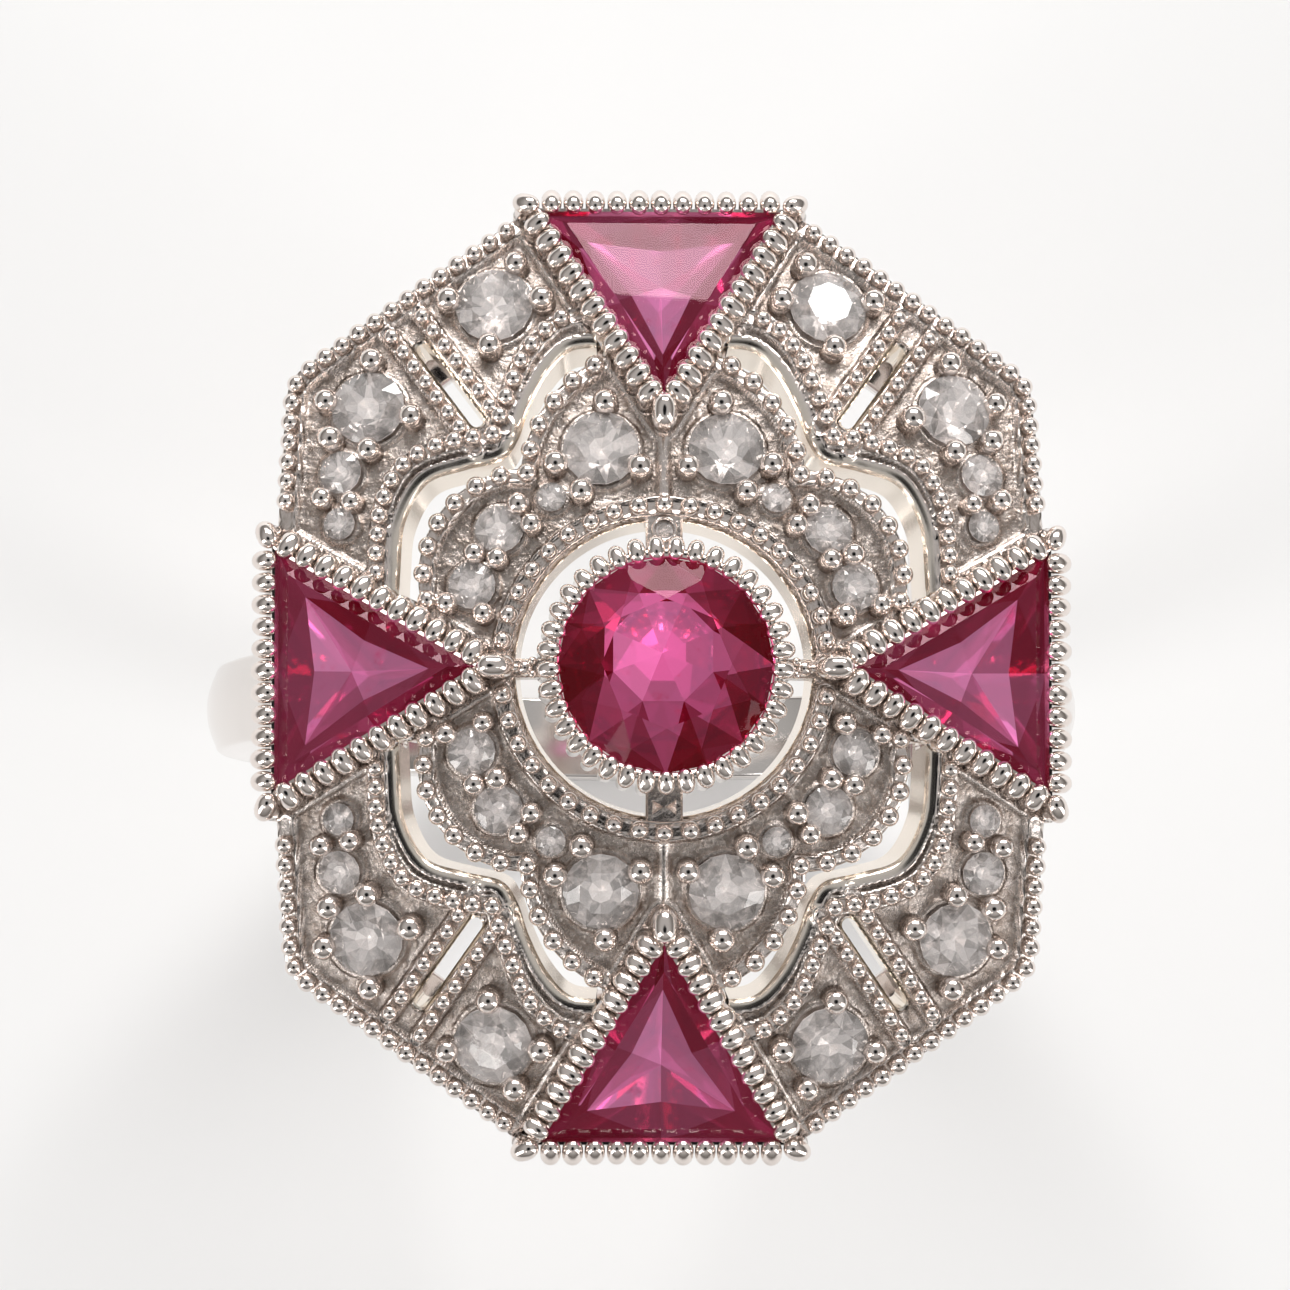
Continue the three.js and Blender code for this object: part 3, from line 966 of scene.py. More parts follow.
            rails.append(Rail(end * sign, 0.18, 0.53, 0.21, (0.5, 0.2)))

        def inside(plan: np.ndarray) -> np.ndarray:
            """Signed distance to the half's edge.

            Args:
                plan: places in the plan.

            Returns:
                Each place's distance.
            """
            hole = self.ring_opening - np.linalg.norm(plan, axis=1)
            parts = [depth_in(plan, outline), hole, 0.05 - plan[:, 1]]
            return np.maximum.reduce([*parts, *[-depth_in(plan, c) for c in cutters]])

        def relief(plan: np.ndarray) -> np.ndarray:
            """Fields, rails, the rib between the two petals, and seats.

            Args:
                plan: places in the plan.

            Returns:
                Each place's height over the plate.
            """
            w = np.full(len(plan), -self.field_drop)
            rib = np.abs(plan[:, 0])
            w = w + 0.13 * (1 - ease(rib, 0.03, 0.2)) * ease(plan[:, 1], 3.4, 3.6)
            w = self.raise_ledges(plan, w, (Side.NORTH, Side.EAST, Side.WEST))
            for rail in rails:
                w = rail.raise_on(plan, w)
            both = [Stone(sign * s.x, s.y, s.r) for sign in (1, -1) for s in self.petal_stones]
            return self.sink_seats(plan, w, both)

        def bare(plan: np.ndarray) -> np.ndarray:
            """Worn plating beside the round opening."""
            return 1 - ease(np.linalg.norm(plan, axis=1) - self.ring_opening, 0.02, 0.08)

        form = PiercedPlate(inside, relief, bare, (-5.4, 0.0), (5.4, 7.1)).form()
        for rail in rails:
            rail.string(form, rng)
        for sign in (1, -1):
            prongs = [(sign * x, y) for x, y in self.petal_prongs]
            stones = [Stone(sign * s.x, s.y, s.r) for s in self.petal_stones]
            self.add_prongs(form, prongs, stones, rng)
        return form

    def add_prongs(
        self, form: Form, places: Sequence[Sequence[float]], stones: Sequence[Stone], rng: np.random.Generator
    ) -> None:
        """Adds bead prongs, larger beside a large stone: a stem that widens into the plate, and a ball on it.

        Args:
            form: where they go.
            places: their places in the plan.
            stones: the stones that they hold.
            rng: source of small differences.
        """
        plan = np.array(places, float)
        for (x, y), at, up in zip(plan, DOME.lay(plan, 0.0), DOME.normals(plan)):
            held = min(stones, key=lambda s: math.hypot(s.x - x, s.y - y) - s.r)
            r = (self.prong_base + self.prong_growth * held.r) * rng.uniform(0.94, 1.05)
            stem = [(0, -0.3), (1.12 * r, -0.28), (0.92 * r, -0.16), (0.9 * r, 0.03), (0, 0.08)]
            # Painted shade: the stem under the ball is darkened.
            add_turned(form, at, up, stem, 20, recess=0.6)
            add_ball(form, at + up * self.prong_rise, up, r, tall=0.95)

    @staticmethod
    def notch(a: np.ndarray, ra: float, b: np.ndarray, rb: float) -> np.ndarray:
        """The outer crossing of two circles.

        Args:
            a: middle of the first circle.
            ra: its radius.
            b: middle of the second circle.
            rb: its radius.

        Returns:
            The crossing that lies farther from the middle of the plaque.
        """
        apart = float(np.linalg.norm(b - a))
        along = (ra**2 - rb**2 + apart**2) / (2 * apart)
        off = math.sqrt(ra**2 - along**2)
        u = (b - a) / apart
        pair = [a + u * along + s * off * np.array([-u[1], u[0]]) for s in (1, -1)]
        return max(pair, key=np.linalg.norm)

    def build(self) -> list[tuple[bpy.types.Object, str]]:
        """Builds the panels and the quatrefoil, each with the node that it stands for.

        Returns:
            The pieces and their nodes.
        """
        pieces = []
        for seed, quarter in enumerate(Quarter):
            form = self.panel(np.random.default_rng(10 + seed)).mirrored(quarter.signs)
            pieces.append((form.build(f"pierced_panel_{quarter.word}"), f"frame_panel_{quarter.word}"))
        for seed, (word, sign) in enumerate((("upper", 1), ("lower", -1))):
            form = self.petals(np.random.default_rng(20 + seed)).mirrored(np.array([1.0, sign]))
            pieces.append((form.build(f"pierced_quatrefoil_{word}"), f"quatrefoil_{word}"))
        return pieces


# ---- Collets ----


@dataclass
class TriangleCollet:
    """A triangular collet with beads on its rim and a flute below each bead.

    Args:
        inradius: distance from its middle to the outside of a wall.
        reach: distance of its middle from the middle of the plaque, east and north.
        rise: height of its rim over the dome.
        depth: how far it goes below the dome.
        beads: number of beads along one side.
        bead: radius of a bead.
        draw: how far a bead is drawn out across the rim, in its radii.
        rib: radius of the flute under a bead.
        rib_out: how far the flute's middle lies outside the bead's.
        knee: height where the flute bends in to the bead.
    """

    inradius: float = 1.81
    reach: tuple[float, float] = (6.66, 8.38)
    rise: float = 0.42
    depth: float = 1.1
    beads: int = 12
    bead: float = 0.22
    draw: float = 0.4
    rib: float = 0.2
    rib_out: float = 0.16
    knee: float = -0.28

    def profile(self) -> list[tuple[float, float]]:
        """Section of the wall as (inradius, height), once round.

        Returns:
            The section's corners.
        """
        core = self.inradius - 0.13
        return [
            (core - 0.03, -self.depth), (core, -self.depth + 0.05), (core, -0.12), (core - 0.12, self.rise - 0.16),
            (core - 0.16, self.rise - 0.1), (core - 0.22, self.rise - 0.12), (core - 0.25, 0.14), (core - 0.25, -0.1),
            (core - 0.6, -0.3), (core - 0.62, -self.depth),
        ]

    def build(self, side: Side) -> bpy.types.Object:
        """Builds the collet on one side of the plaque.

        Args:
            side: its side.

        Returns:
            The collet.
        """
        reach = self.reach[0] if side.value[0] else self.reach[1]
        origin, axes = DOME.stand(side.value[0] * reach, side.value[1] * reach, side.turn)
        angles = -NOON + np.arange(3) * 2 * math.pi / 3
        corners = np.column_stack([np.cos(angles), np.sin(angles)]) * 2
        form = Form()
        wall = np.array([[[*(c * r), h] for r, h in self.profile()] for c in corners])
        self.flat_loft(form, origin + wall @ axes)
        rng = np.random.default_rng(40 + list(Side).index(side))
        row = self.inradius - 0.2
        for a, b in zip(corners, np.roll(corners, -1, axis=0)):
            outward = (a + b) / np.linalg.norm(a + b)
            for k in range(self.beads):
                t = k / self.beads
                at = (a * (1 - t) + b * t) * row
                tip = np.allclose(a, corners[0]) and k == 0
                self.add_bead(form, origin, axes, at, outward if k else at / np.linalg.norm(at), rng, tip)
        return form.build(f"milgrain_collet_{side.word}")

    @staticmethod
    def flat_loft(form: Form, rings: np.ndarray) -> None:
        """Sweeps the wall round the three corners, with its own vertices on each face so that edges stay crisp.

        Args:
            form: where it goes.
            rings: the wall's section at each corner.
        """
        sections, count, _ = rings.shape
        for s in range(sections):
            a, b = rings[s], rings[(s + 1) % sections]
            for k in range(count):
                n = (k + 1) % count
                quad = np.array([a[k], a[n], b[n], b[k]])[::-1]
                # Painted shade: the lowest faces of the wall's outside are darkened.
                form.add(quad, [[0, 1, 2, 3]], recess=0.45 if k in (0, 1) else 0.05, smooth=False)

    def add_bead(
        self, form: Form, origin: np.ndarray, axes: np.ndarray, at: np.ndarray, outward: np.ndarray,
        rng: np.random.Generator, tip: bool,
    ) -> None:
        """Adds a bead on the rim and the flute under it.

        Args:
            form: where they go.
            origin: the collet's middle.
            axes: the collet's axes as rows.
            at: place of the bead in the collet's own plan.
            outward: direction out of the wall there.
            rng: source of small differences.
            tip: whether this is the bead at the collet's inner tip, which is larger and pointed.
        """
        size = self.bead * (1.25 if tip else rng.uniform(0.95, 1.04))
        top = self.rise - 0.1
        low = self.depth + self.knee
        rib = self.rib
        foot = origin + np.array([*(at + outward * self.rib_out), -self.depth + 0.03]) @ axes
        straight = [(0, 0), (rib - 0.04, 0), (rib - 0.01, 0.1), (rib, low), (0, low + 0.1)]
        add_turned(form, foot, axes[2], straight, 14, recess=0.08)
        bend = origin + np.array([*(at + outward * self.rib_out), self.knee]) @ axes
        head = origin + np.array([*(at + outward * 0.03), top]) @ axes
        tall = float(np.linalg.norm(head - bend))
        bent = [
            (0, -0.02), (rib, 0.0), (rib + 0.005, 0.3 * tall), (rib, 0.7 * tall), (rib - 0.03, tall), (0, tall + 0.06),
        ]
        add_turned(form, bend, (head - bend) / tall, bent, 16, recess=0.04)
        drawn = np.array([*outward * self.draw, -0.5 * self.draw])
        middle = np.array([*(at + outward * self.draw * size), top - 0.5 * self.draw * size])
        add_ball(form, origin + middle @ axes, axes[2], size, 1.2 if tip else 1.0, drawn @ axes)


@dataclass
class CenterCollet:
    """The round centre collet, with a fluted wall under a ring of beads.

    Args:
        radius: radius of its wall over the flutes.
        stone_radius: radius of the opening for the stone.
        rise: height of its rim over the dome's middle.
        depth: how far it goes below the dome's middle.
        beads: number of beads.
        bead: radius of a bead.
        draw: how far a bead is drawn out across the rim, in its radii.
        steps: number of steps round the wall.
    """

    radius: float = 2.63
    stone_radius: float = 2.24
    rise: float = 0.75
    depth: float = 1.1
    beads: int = 37
    bead: float = 0.188
    draw: float = 0.42
    steps: int = 148

    def build(self) -> bpy.types.Object:
        """Builds the collet.

        Returns:
            The collet.
        """
        core = self.radius - 0.14
        profile = np.array([
            (2.32, -self.depth), (core - 0.02, -self.depth), (core, 0.0), (core - 0.06, self.rise - 0.2),
            (core - 0.05, self.rise - 0.12), (self.stone_radius + 0.03, self.rise - 0.14), (self.stone_radius, 0.55),
            (self.stone_radius, 0.35), (1.95, 0.0), (1.9, -self.depth),
        ])
        angles = 2 * math.pi * np.arange(self.steps) / self.steps
        rings = np.array([
            [[r * math.cos(a), r * math.sin(a), h + DOME.top] for r, h in profile] for a in angles
        ])[::-1]
        form = Form()
        loft(form, rings, recess=0.1)
        rng = np.random.default_rng(50)
        up = np.array([0.0, 0.0, 1.0])
        for k in range(self.beads):
            a = 2 * math.pi * (k + 0.5) / self.beads + NOON
            out = np.array([math.cos(a), math.sin(a), 0.0])
            at = out * (self.stone_radius + 0.13) + up * (DOME.top + self.rise - 0.12)
            foot = out * (core + 0.03) + up * (DOME.top - self.depth)
            tall = float(np.linalg.norm(at - foot))
            rib = [(0, 0), (0.12, 0.0), (0.16, 0.1), (0.175, 0.6 * tall), (0.17, 0.94 * tall), (0, tall)]
            add_turned(form, foot, (at - foot) / tall, rib, 16, recess=0.05)
            drawn = out * self.draw - up * (0.4 * self.draw)
            add_ball(form, at + drawn * self.bead, up, self.bead * rng.uniform(0.97, 1.03), along=drawn)
        return form.build("milgrain_collet_center")


# ---- Bridges ----


@dataclass
class Bridges:
    """The four bars between the centre collet and the quatrefoil.

    Args:
        near: distance of a bar's inner end from the middle of the plaque.
        far: distance of its outer end.
        middle: distance of the middle of its ornament.
        half: half the width of the north and south bars.
        slim_half: half the width of the east and west bars.
        top: how far the bars' tops lie below the dome.
        bottom: how far their undersides lie below it.
        bevel: width of the bevel along the top.
        collar: radius of the tiny stone's collar, inside and outside.
        grains: place and radius of each grain on the east and west bars.
    """

    near: float = 2.5
    far: float = 3.25
    middle: float = 2.92
    half: float = 0.39
    slim_half: float = 0.2
    top: float = 0.1
    bottom: float = 0.85
    bevel: float = 0.05
    collar: tuple[float, float] = (0.2, 0.27)
    grains: tuple[tuple[float, float, float], ...] = (
        (0.0, 2.92, 0.17), (-0.14, 2.76, 0.09), (0.14, 2.76, 0.09), (0.0, 3.12, 0.1),
    )

    def build(self, side: Side) -> bpy.types.Object:
        """Builds the bar on one side.

        Args:
            side: its side of the centre collet.

        Returns:
            The bar.
        """
        wide = side in (Side.NORTH, Side.SOUTH)
        half = self.half if wide else self.slim_half
        ys = np.linspace(self.near, self.far, 9)
        shoulder = -self.top - self.bevel
        left = [(-half, -self.bottom), (-half, shoulder), (-half + self.bevel, -self.top)]
        section = left + [(-x, w) for x, w in left[::-1]]
        rings = []
        for y in ys:
            plan = np.array([[x, y] for x, _ in section])
            rings.append(DOME.lay(plan, np.array([w for _, w in section])))
        form = Form()
        # Painted shade: the low bars are darkened all over.
        loft(form, np.array(rings), recess=0.5, closed=False)
        form.smooth = [False] * len(form.faces)
        if side is Side.NORTH:
            self.add_collar(form)
        elif side is Side.SOUTH:
            self.add_bow(form)
        else:
            for x, y, r in self.grains:
                plan = np.array([[x, y]])
                add_ball(form, DOME.lay(plan, -0.02)[0], DOME.normals(plan)[0], r)
        return form.turned(side.turn).build(f"bridge_bar_{side.word}")

    def add_collar(self, form: Form) -> None:
        """Adds the thin collar round the tiny stone.

        Args:
            form: where it goes.
        """
        count = 40
        angles = 2 * math.pi * np.arange(count) / count
        rings = []
        inside, outside = self.collar
        crest = (inside + outside) / 2
        for radius, w in ((inside, -0.2), (inside, 0.0), (crest, 0.03), (outside, 0.0), (outside, -0.2)):
            plan = np.column_stack([radius * np.cos(angles), self.middle + radius * np.sin(angles)])
            rings.append(DOME.lay(plan, w))
        loft(form, np.array(rings).transpose(1, 0, 2)[::-1])

    def add_bow(self, form: Form) -> None:
        """Adds the two cut facets that meet like a bow on the south bar.

        Args:
            form: where they go.
        """
        reach, spread, peak_at = 0.26, 0.17, 0.17
        for sign in (1, -1):
            steps = [(0.0, 0.0), (reach, -spread), (reach, spread), (peak_at, 0.0)]
            plan = np.array([[sign * x, self.middle + y] for x, y in steps])
            low = DOME.lay(plan[:3], -0.12)
            peak = DOME.lay(plan[3:], 0.08)
            faces = [[0, 1, 3], [1, 2, 3], [2, 0, 3], [0, 2, 1]]
            form.add(np.vstack([low, peak]), faces if sign > 0 else [f[::-1] for f in faces], smooth=False)


# ---- Stones ----


TABLE_PAINTED_SPARKLE = 0.85
# Painted brightness of a stone's table, next to its other facets: a painted highlight in place of the light coming
# back through it.
"""Brightness of a stone's table, next to its other facets."""


@dataclass
class Brilliant:
    """A round brilliant cut, measured in girdle radii.

    Args:
        crown: height of the table over the girdle.
        pavilion: depth of the culet under the girdle.
        table: radius of the table's corners.
        girdle: half the girdle's thickness.
        deep: radius that the lower halves reach in to.
        drift: how far the culet lies from the middle.
        star: least and most painted sparkle of the facets next to the table.
        rim: the same, of the rest of the crown.
        halves: the same, of the facets under the girdle.
    """

    crown: float = 0.3
    pavilion: float = 0.8
    table: float = 0.56
    girdle: float = 0.025
    deep: float = 0.32
    drift: tuple[float, float] = (0.0, 0.0)
    star: tuple[float, float] = (0.0, 1.0)
    rim: tuple[float, float] = (0.0, 1.0)
    halves: tuple[float, float] = (0.0, 0.55)

    def form(self, radius: float, origin: np.ndarray, axes: np.ndarray, turn: float) -> Form:
        """Cuts the stone.

        Args:
            radius: girdle radius.
            origin: the girdle's middle.
            axes: the stone's axes as rows.
            turn: angle of its facets round its axis.

        Returns:
            The stone, with a flat face for each facet.
        """
        eighth = math.pi / 4

        def ring(r: float, h: float, count: int, shift: float) -> list[tuple[float, float, float]]:
            """Corners of one level, at a distance from the axis and a height, turned by a shift in steps."""
            angles = [turn + 2 * math.pi / count * (k + shift) for k in range(count)]
            return [(r * math.cos(a), r * math.sin(a), h) for a in angles]

        mid = 0.5 * (self.table + 1) + 0.03
        star_height = self.crown * (1 - mid) / (1 - self.table) * 1.12
        points = [
            *ring(self.table, self.crown, 8, 0), *ring(mid / math.cos(eighth / 4), star_height, 8, 0.5),
            *ring(1, self.girdle, 16, 0), *ring(1, -self.girdle, 16, 0),
            *ring(self.deep, -self.pavilion * 1.03 * (1 - self.deep), 8, 0.5), (0, 0, -self.pavilion),
        ]
        table, star, upper, lower, deep, culet = 0, 8, 16, 32, 48, 56
        faces = [list(range(8))]
        backs = []
        # Painted sparkle: every facet gets a painted brightness, and the table gets a fixed high one.
        painted_sparkle, back_painted_sparkle = [TABLE_PAINTED_SPARKLE], []
        first = int(abs(turn) * len(HASH))
        for k in range(8):
            n, p = (k + 1) % 8, (k - 1) % 8
            g, h, j = 2 * k, (2 * k + 1) % 16, (2 * k + 2) % 16
            faces.append([table + n, table + k, star + k])
            faces.append([table + k, star + p, upper + g, star + k])
            faces.append([star + k, upper + g, upper + h])
            faces.append([star + k, upper + h, upper + j])
            faces.append([upper + g, lower + g, lower + h, upper + h])
            faces.append([upper + h, lower + h, lower + j, upper + j])
            backs.append([lower + h, lower + g, deep + k])
            backs.append([lower + j, lower + h, deep + k])
            backs += [[lower + g, deep + p, deep + k], [deep + p, culet, deep + k]]
            painted_sparkle += [glint(first + 9 * k, *self.star), *(glint(first + 9 * k + m, *self.rim) for m in range(1, 6))]
            back_painted_sparkle += [glint(first + 9 * k + 6, *self.halves), glint(first + 9 * k + 7, *self.halves)]
            back_painted_sparkle += [glint(first + 9 * k + 5, self.halves[0], 0.7), glint(first + 9 * k + 8, 0.5, 1.0)]
        body = Form()
        finish = [0] * len(faces) + [1] * len(backs)
        corners = np.array(points)
        corners[deep:, :2] += self.drift
        place = origin + corners * radius @ axes
        body.add(place, faces + backs, smooth=False, finish=finish, painted_sparkle=painted_sparkle + back_painted_sparkle)
        return body


@dataclass
class Trillion:
    """A triangular stone with straight sides and a star of facets below.

    Args:
        crown: height of the table over the girdle.
        pavilion: depth of the culet under the girdle.
        table: size of the table next to the girdle.
        girdle: half the girdle's thickness.
    """

    crown: float = 0.24
    pavilion: float = 1.15
    table: float = 0.8
    girdle: float = 0.03

    def form(self, inradius: float, origin: np.ndarray, axes: np.ndarray, first: int) -> Form:
        """Cuts the stone with its tip towards the middle of the plaque.

        Args:
            inradius: distance from its middle to a side.
            origin: the girdle's middle.
            axes: the stone's axes as rows.
            first: number of its first facet's painted sparkle.

        Returns:
            The stone, with a flat face for each facet.
        """
        def ring(corner: float, edge: float, corner_h: float, edge_h: float) -> list[tuple[float, float, float]]:
            """Three corners and the three places between them, in turn.

            Args:
                corner: how far out a corner lies, next to the girdle's.
                edge: how far out the middle of a side lies, next to the girdle's.
                corner_h: height of a corner.
                edge_h: height of the middle of a side.

            Returns:
                The six places.
            """
            out = []
            for k in range(6):
                a = -NOON + k * math.pi / 3
                r, h = (2 * inradius * corner, corner_h) if k % 2 == 0 else (inradius * edge, edge_h)
                out.append((r * math.cos(a), r * math.sin(a), h))
            return out

        points = [
            *ring(self.table, self.table, self.crown, self.crown), *ring(1, 1, self.girdle, self.girdle),
            *ring(1, 1, -self.girdle, -self.girdle),
            *ring(0.62, 0.5, -0.42 * self.pavilion, -0.55 * self.pavilion), (0, 0, -self.pavilion),
        ]
        table, upper, lower, deep, culet = 0, 6, 12, 18, 24
        faces = [list(range(6))]
        backs = []
        back_painted_sparkle = []
        for k in range(6):
            n = (k + 1) % 6
            faces.append([table + n, table + k, upper + k, upper + n])
            faces.append([upper + k, lower + k, lower + n, upper + n])
            if k % 2 == 0:
                backs += [[lower + n, lower + k, deep + k], [lower + n, deep + k, deep + n]]
            else:
                backs += [[lower + n, lower + k, deep + n], [lower + k, deep + k, deep + n]]
            backs.append([deep + n, deep + k, culet])
            # Painted shade and sparkle: the outer facets below are painted dark and the inner star bright.
            back_painted_sparkle += [glint(first + 5 * k, 0.0, 0.14), glint(first + 5 * k + 1, 0.0, 0.22)]
            back_painted_sparkle.append(glint(first + 5 * k + 2, 0.25, 1.0))
        painted_sparkle = [TABLE_PAINTED_SPARKLE] + [glint(first + 40 + m // 2) for m in range(len(faces) - 1)]
        body = Form()
        finish = [0] * len(faces) + [1] * len(backs)
        place = origin + np.array(points) @ axes
        body.add(place, faces + backs, smooth=False, finish=finish, painted_sparkle=painted_sparkle + back_painted_sparkle)
        return body


@dataclass
class Stones:
    """Every stone of the ring.

    Args:
        plaque: the plaque, which knows the places of the diamonds.
        girdle_sink: how far a diamond's girdle lies below the dome.
        tilt: how much the diamonds lean, in radians.
        bridge_stone: the tiny diamond of the north bridge.
        center_radius: girdle radius of the round ruby.
        center_rise: height of its girdle over the dome's middle.
        triangle_inradius: distance from a triangular ruby's middle to its side.
        triangle_rise: height of its girdle over the dome.
    """

    plaque: Plaque = field(default_factory=Plaque)
    girdle_sink: float = 0.06
    tilt: float = 0.035
    bridge_stone: Stone = Stone(0, 2.89, 0.18)
    center_radius: float = 2.255
    center_rise: float = 0.5
    triangle_inradius: float = 1.45
    triangle_rise: float = 0.1

    def diamonds(self) -> list[tuple[bpy.types.Object, str]]:
        """Builds the diamonds, each with the node that it stands for.

        Returns:
            The diamonds and their nodes.
        """
        pieces = []
        sets = {"panel": self.plaque.panel_stones, "petal": self.plaque.petal_stones}
        rng = np.random.default_rng(7)
        for word, stones in sets.items():
            for quarter in Quarter:
                for k, stone in enumerate(stones, 1):
                    place = quarter.signs * (stone.x, stone.y)
                    label = f"{word}_{quarter.word}_{k}"
                    piece = self.diamond(place, stone.r, rng).build(f"cut_diamond_{label}")
                    pieces.append((piece, f"diamond_{label}"))
        place = np.array([self.bridge_stone.x, self.bridge_stone.y])
        tiny = self.diamond(place, self.bridge_stone.r, rng).build("cut_diamond_bridge_north")
        pieces.append((tiny, "diamond_bridge_north"))
        return pieces

    def diamond(self, place: np.ndarray, radius: float, rng: np.random.Generator) -> Form:
        """Cuts and sets one diamond, a little tilted as hand-set stones are.

        Args:
            place: its place in the plan.
            radius: its girdle radius.
            rng: source of small differences.

        Returns:
            The diamond.
        """
        origin, axes = DOME.stand(*place)
        tilt = rng.normal(0, self.tilt, 2)
        up = axes[2] + tilt[0] * axes[0] + tilt[1] * axes[1]
        up /= np.linalg.norm(up)
        right = np.cross(axes[1], up)
        right /= np.linalg.norm(right)
        leaning = np.stack([right, np.cross(up, right), up])
        cut = Brilliant(crown=0.26, pavilion=0.62, table=0.58)
        return cut.form(radius, origin - up * self.girdle_sink, leaning, rng.uniform(0, 1))

    def center(self) -> bpy.types.Object:
        """Cuts the round ruby.

        Returns:
            The ruby.
        """
        cut = Brilliant(
            crown=0.2, pavilion=0.74, table=0.6, deep=0.5, drift=(-0.02, 0.14), star=(0.2, 0.8), rim=(0.0, 0.4),
            halves=(0.0, 0.25),
        )
        origin = np.array([0.0, 0.0, DOME.top + self.center_rise])
        return cut.form(self.center_radius, origin, np.eye(3), NOON).build("cut_ruby_center")

    def triangle(self, side: Side) -> bpy.types.Object:
        """Cuts the triangular ruby of one side.

        Args:
            side: its side of the plaque.

        Returns:
            The ruby.
        """
        collet = TriangleCollet()
        reach = collet.reach[0] if side.value[0] else collet.reach[1]
        origin, axes = DOME.stand(side.value[0] * reach, side.value[1] * reach, side.turn)
        first = 60 * list(Side).index(side)
        form = Trillion().form(self.triangle_inradius, origin + axes[2] * self.triangle_rise, axes, first)
        return form.build(f"cut_ruby_{side.word}")


# ---- Gallery and band ----


@dataclass
class Gallery:
    """The rail under the plaque and the posts that carry it.

    Args:
        bottom: height of the rail's underside over the finger's centre, at its middle.
        sag: the rail drops by x squared over this.
        height: height of the rail.
        width: width of the rail.
        reach: how far the rail's middle lies from the origin, east, on the diagonal and north.
        bend: length of the rounding on each side of a corner.
        edge: radius of the rail's edges.
        posts: places of the north-east quarter's posts in the plan.
    """

    bottom: float = 8.6
    sag: float = 80.0
    height: float = 0.6
    width: float = 0.9
    reach: tuple[float, float, float] = (6.6, 8.26, 9.3)
    bend: float = 0.7
    edge: float = 0.12
    posts: tuple[tuple[float, float], ...] = ((2.35, 8.45), (5.35, 6.3), (6.6, 4.1))

    def path(self) -> Line:
        """Middle of the rail in the plan, with rounded corners, counter-clockwise and closed.

        Returns:
            The line.
        """
        plaque = Plaque()
        along = np.array(plaque.corner) - np.array(plaque.north)
        along /= np.linalg.norm(along)
        normal = np.array([-along[1], along[0]])
        east, diagonal, north = self.reach
        a = np.array([east, (diagonal - normal[0] * east) / normal[1]])
        b = np.array([(diagonal - normal[1] * north) / normal[0], north])
        quarter = np.array([a, b])
        half = np.vstack([quarter, (quarter * [-1, 1])[::-1]])
        corners = np.vstack([half, -half])
        out = []
        for k, corner in enumerate(corners):
            for other, order in ((corners[k - 1], 1), (corners[(k + 1) % len(corners)], -1)):
                step = (other - corner) / np.linalg.norm(other - corner)
                reach = np.linspace(self.bend, 0.0, 6) if order > 0 else np.linspace(0.0, self.bend, 6)[1:]
                out += [corner + step * (0.35 * r + 0.65 * r * r / self.bend) for r in reach]
        return np.array(out)

    def build(self) -> bpy.types.Object:
        """Builds the rail and its posts as one piece.

        Returns:
            The piece.
        """
        path = self.path()
        ahead = np.roll(path, -1, axis=0) - np.roll(path, 1, axis=0)
        ahead /= np.linalg.norm(ahead, axis=1)[:, None]
        side = np.stack([ahead[:, 1], -ahead[:, 0]], 1)
        half, r = self.width / 2, self.edge
        box = [(half - r, r), (half - r, self.height - r), (-half + r, self.height - r), (-half + r, r)]
        section = []
        for k, (u, v) in enumerate(box):
            section += [(u + r * math.cos(a), v + r * math.sin(a)) for a in np.linspace((k - 1) * NOON, k * NOON, 5)]
        rings = []
        for p, s in zip(path, side):
            base = self.bottom - p[0] ** 2 / self.sag
            rings.append([[*(p + s * u), base + v] for u, v in section])
        form = Form()
        loft(form, np.array(rings)[:, ::-1][::-1], recess=0.05)
        up = np.array([0.0, 0.0, 1.0])
        for quarter in Quarter:
            for x, y in self.posts:
                foot = self.bottom - x * x / self.sag + 0.45
                top = DOME.lay(np.array([[x, y]]), -0.9)[0][2]
                tall = top - foot
                profile = [
                    (0, 0), (0.42, 0.0), (0.33, 0.22), (0.3, 0.5 * tall), (0.34, tall - 0.2), (0.46, tall), (0, tall),
                ]
                add_turned(form, np.array([*(quarter.signs * (x, y)), foot]), up, profile, 24, recess=0.1)
        return form.build("gallery_rail")


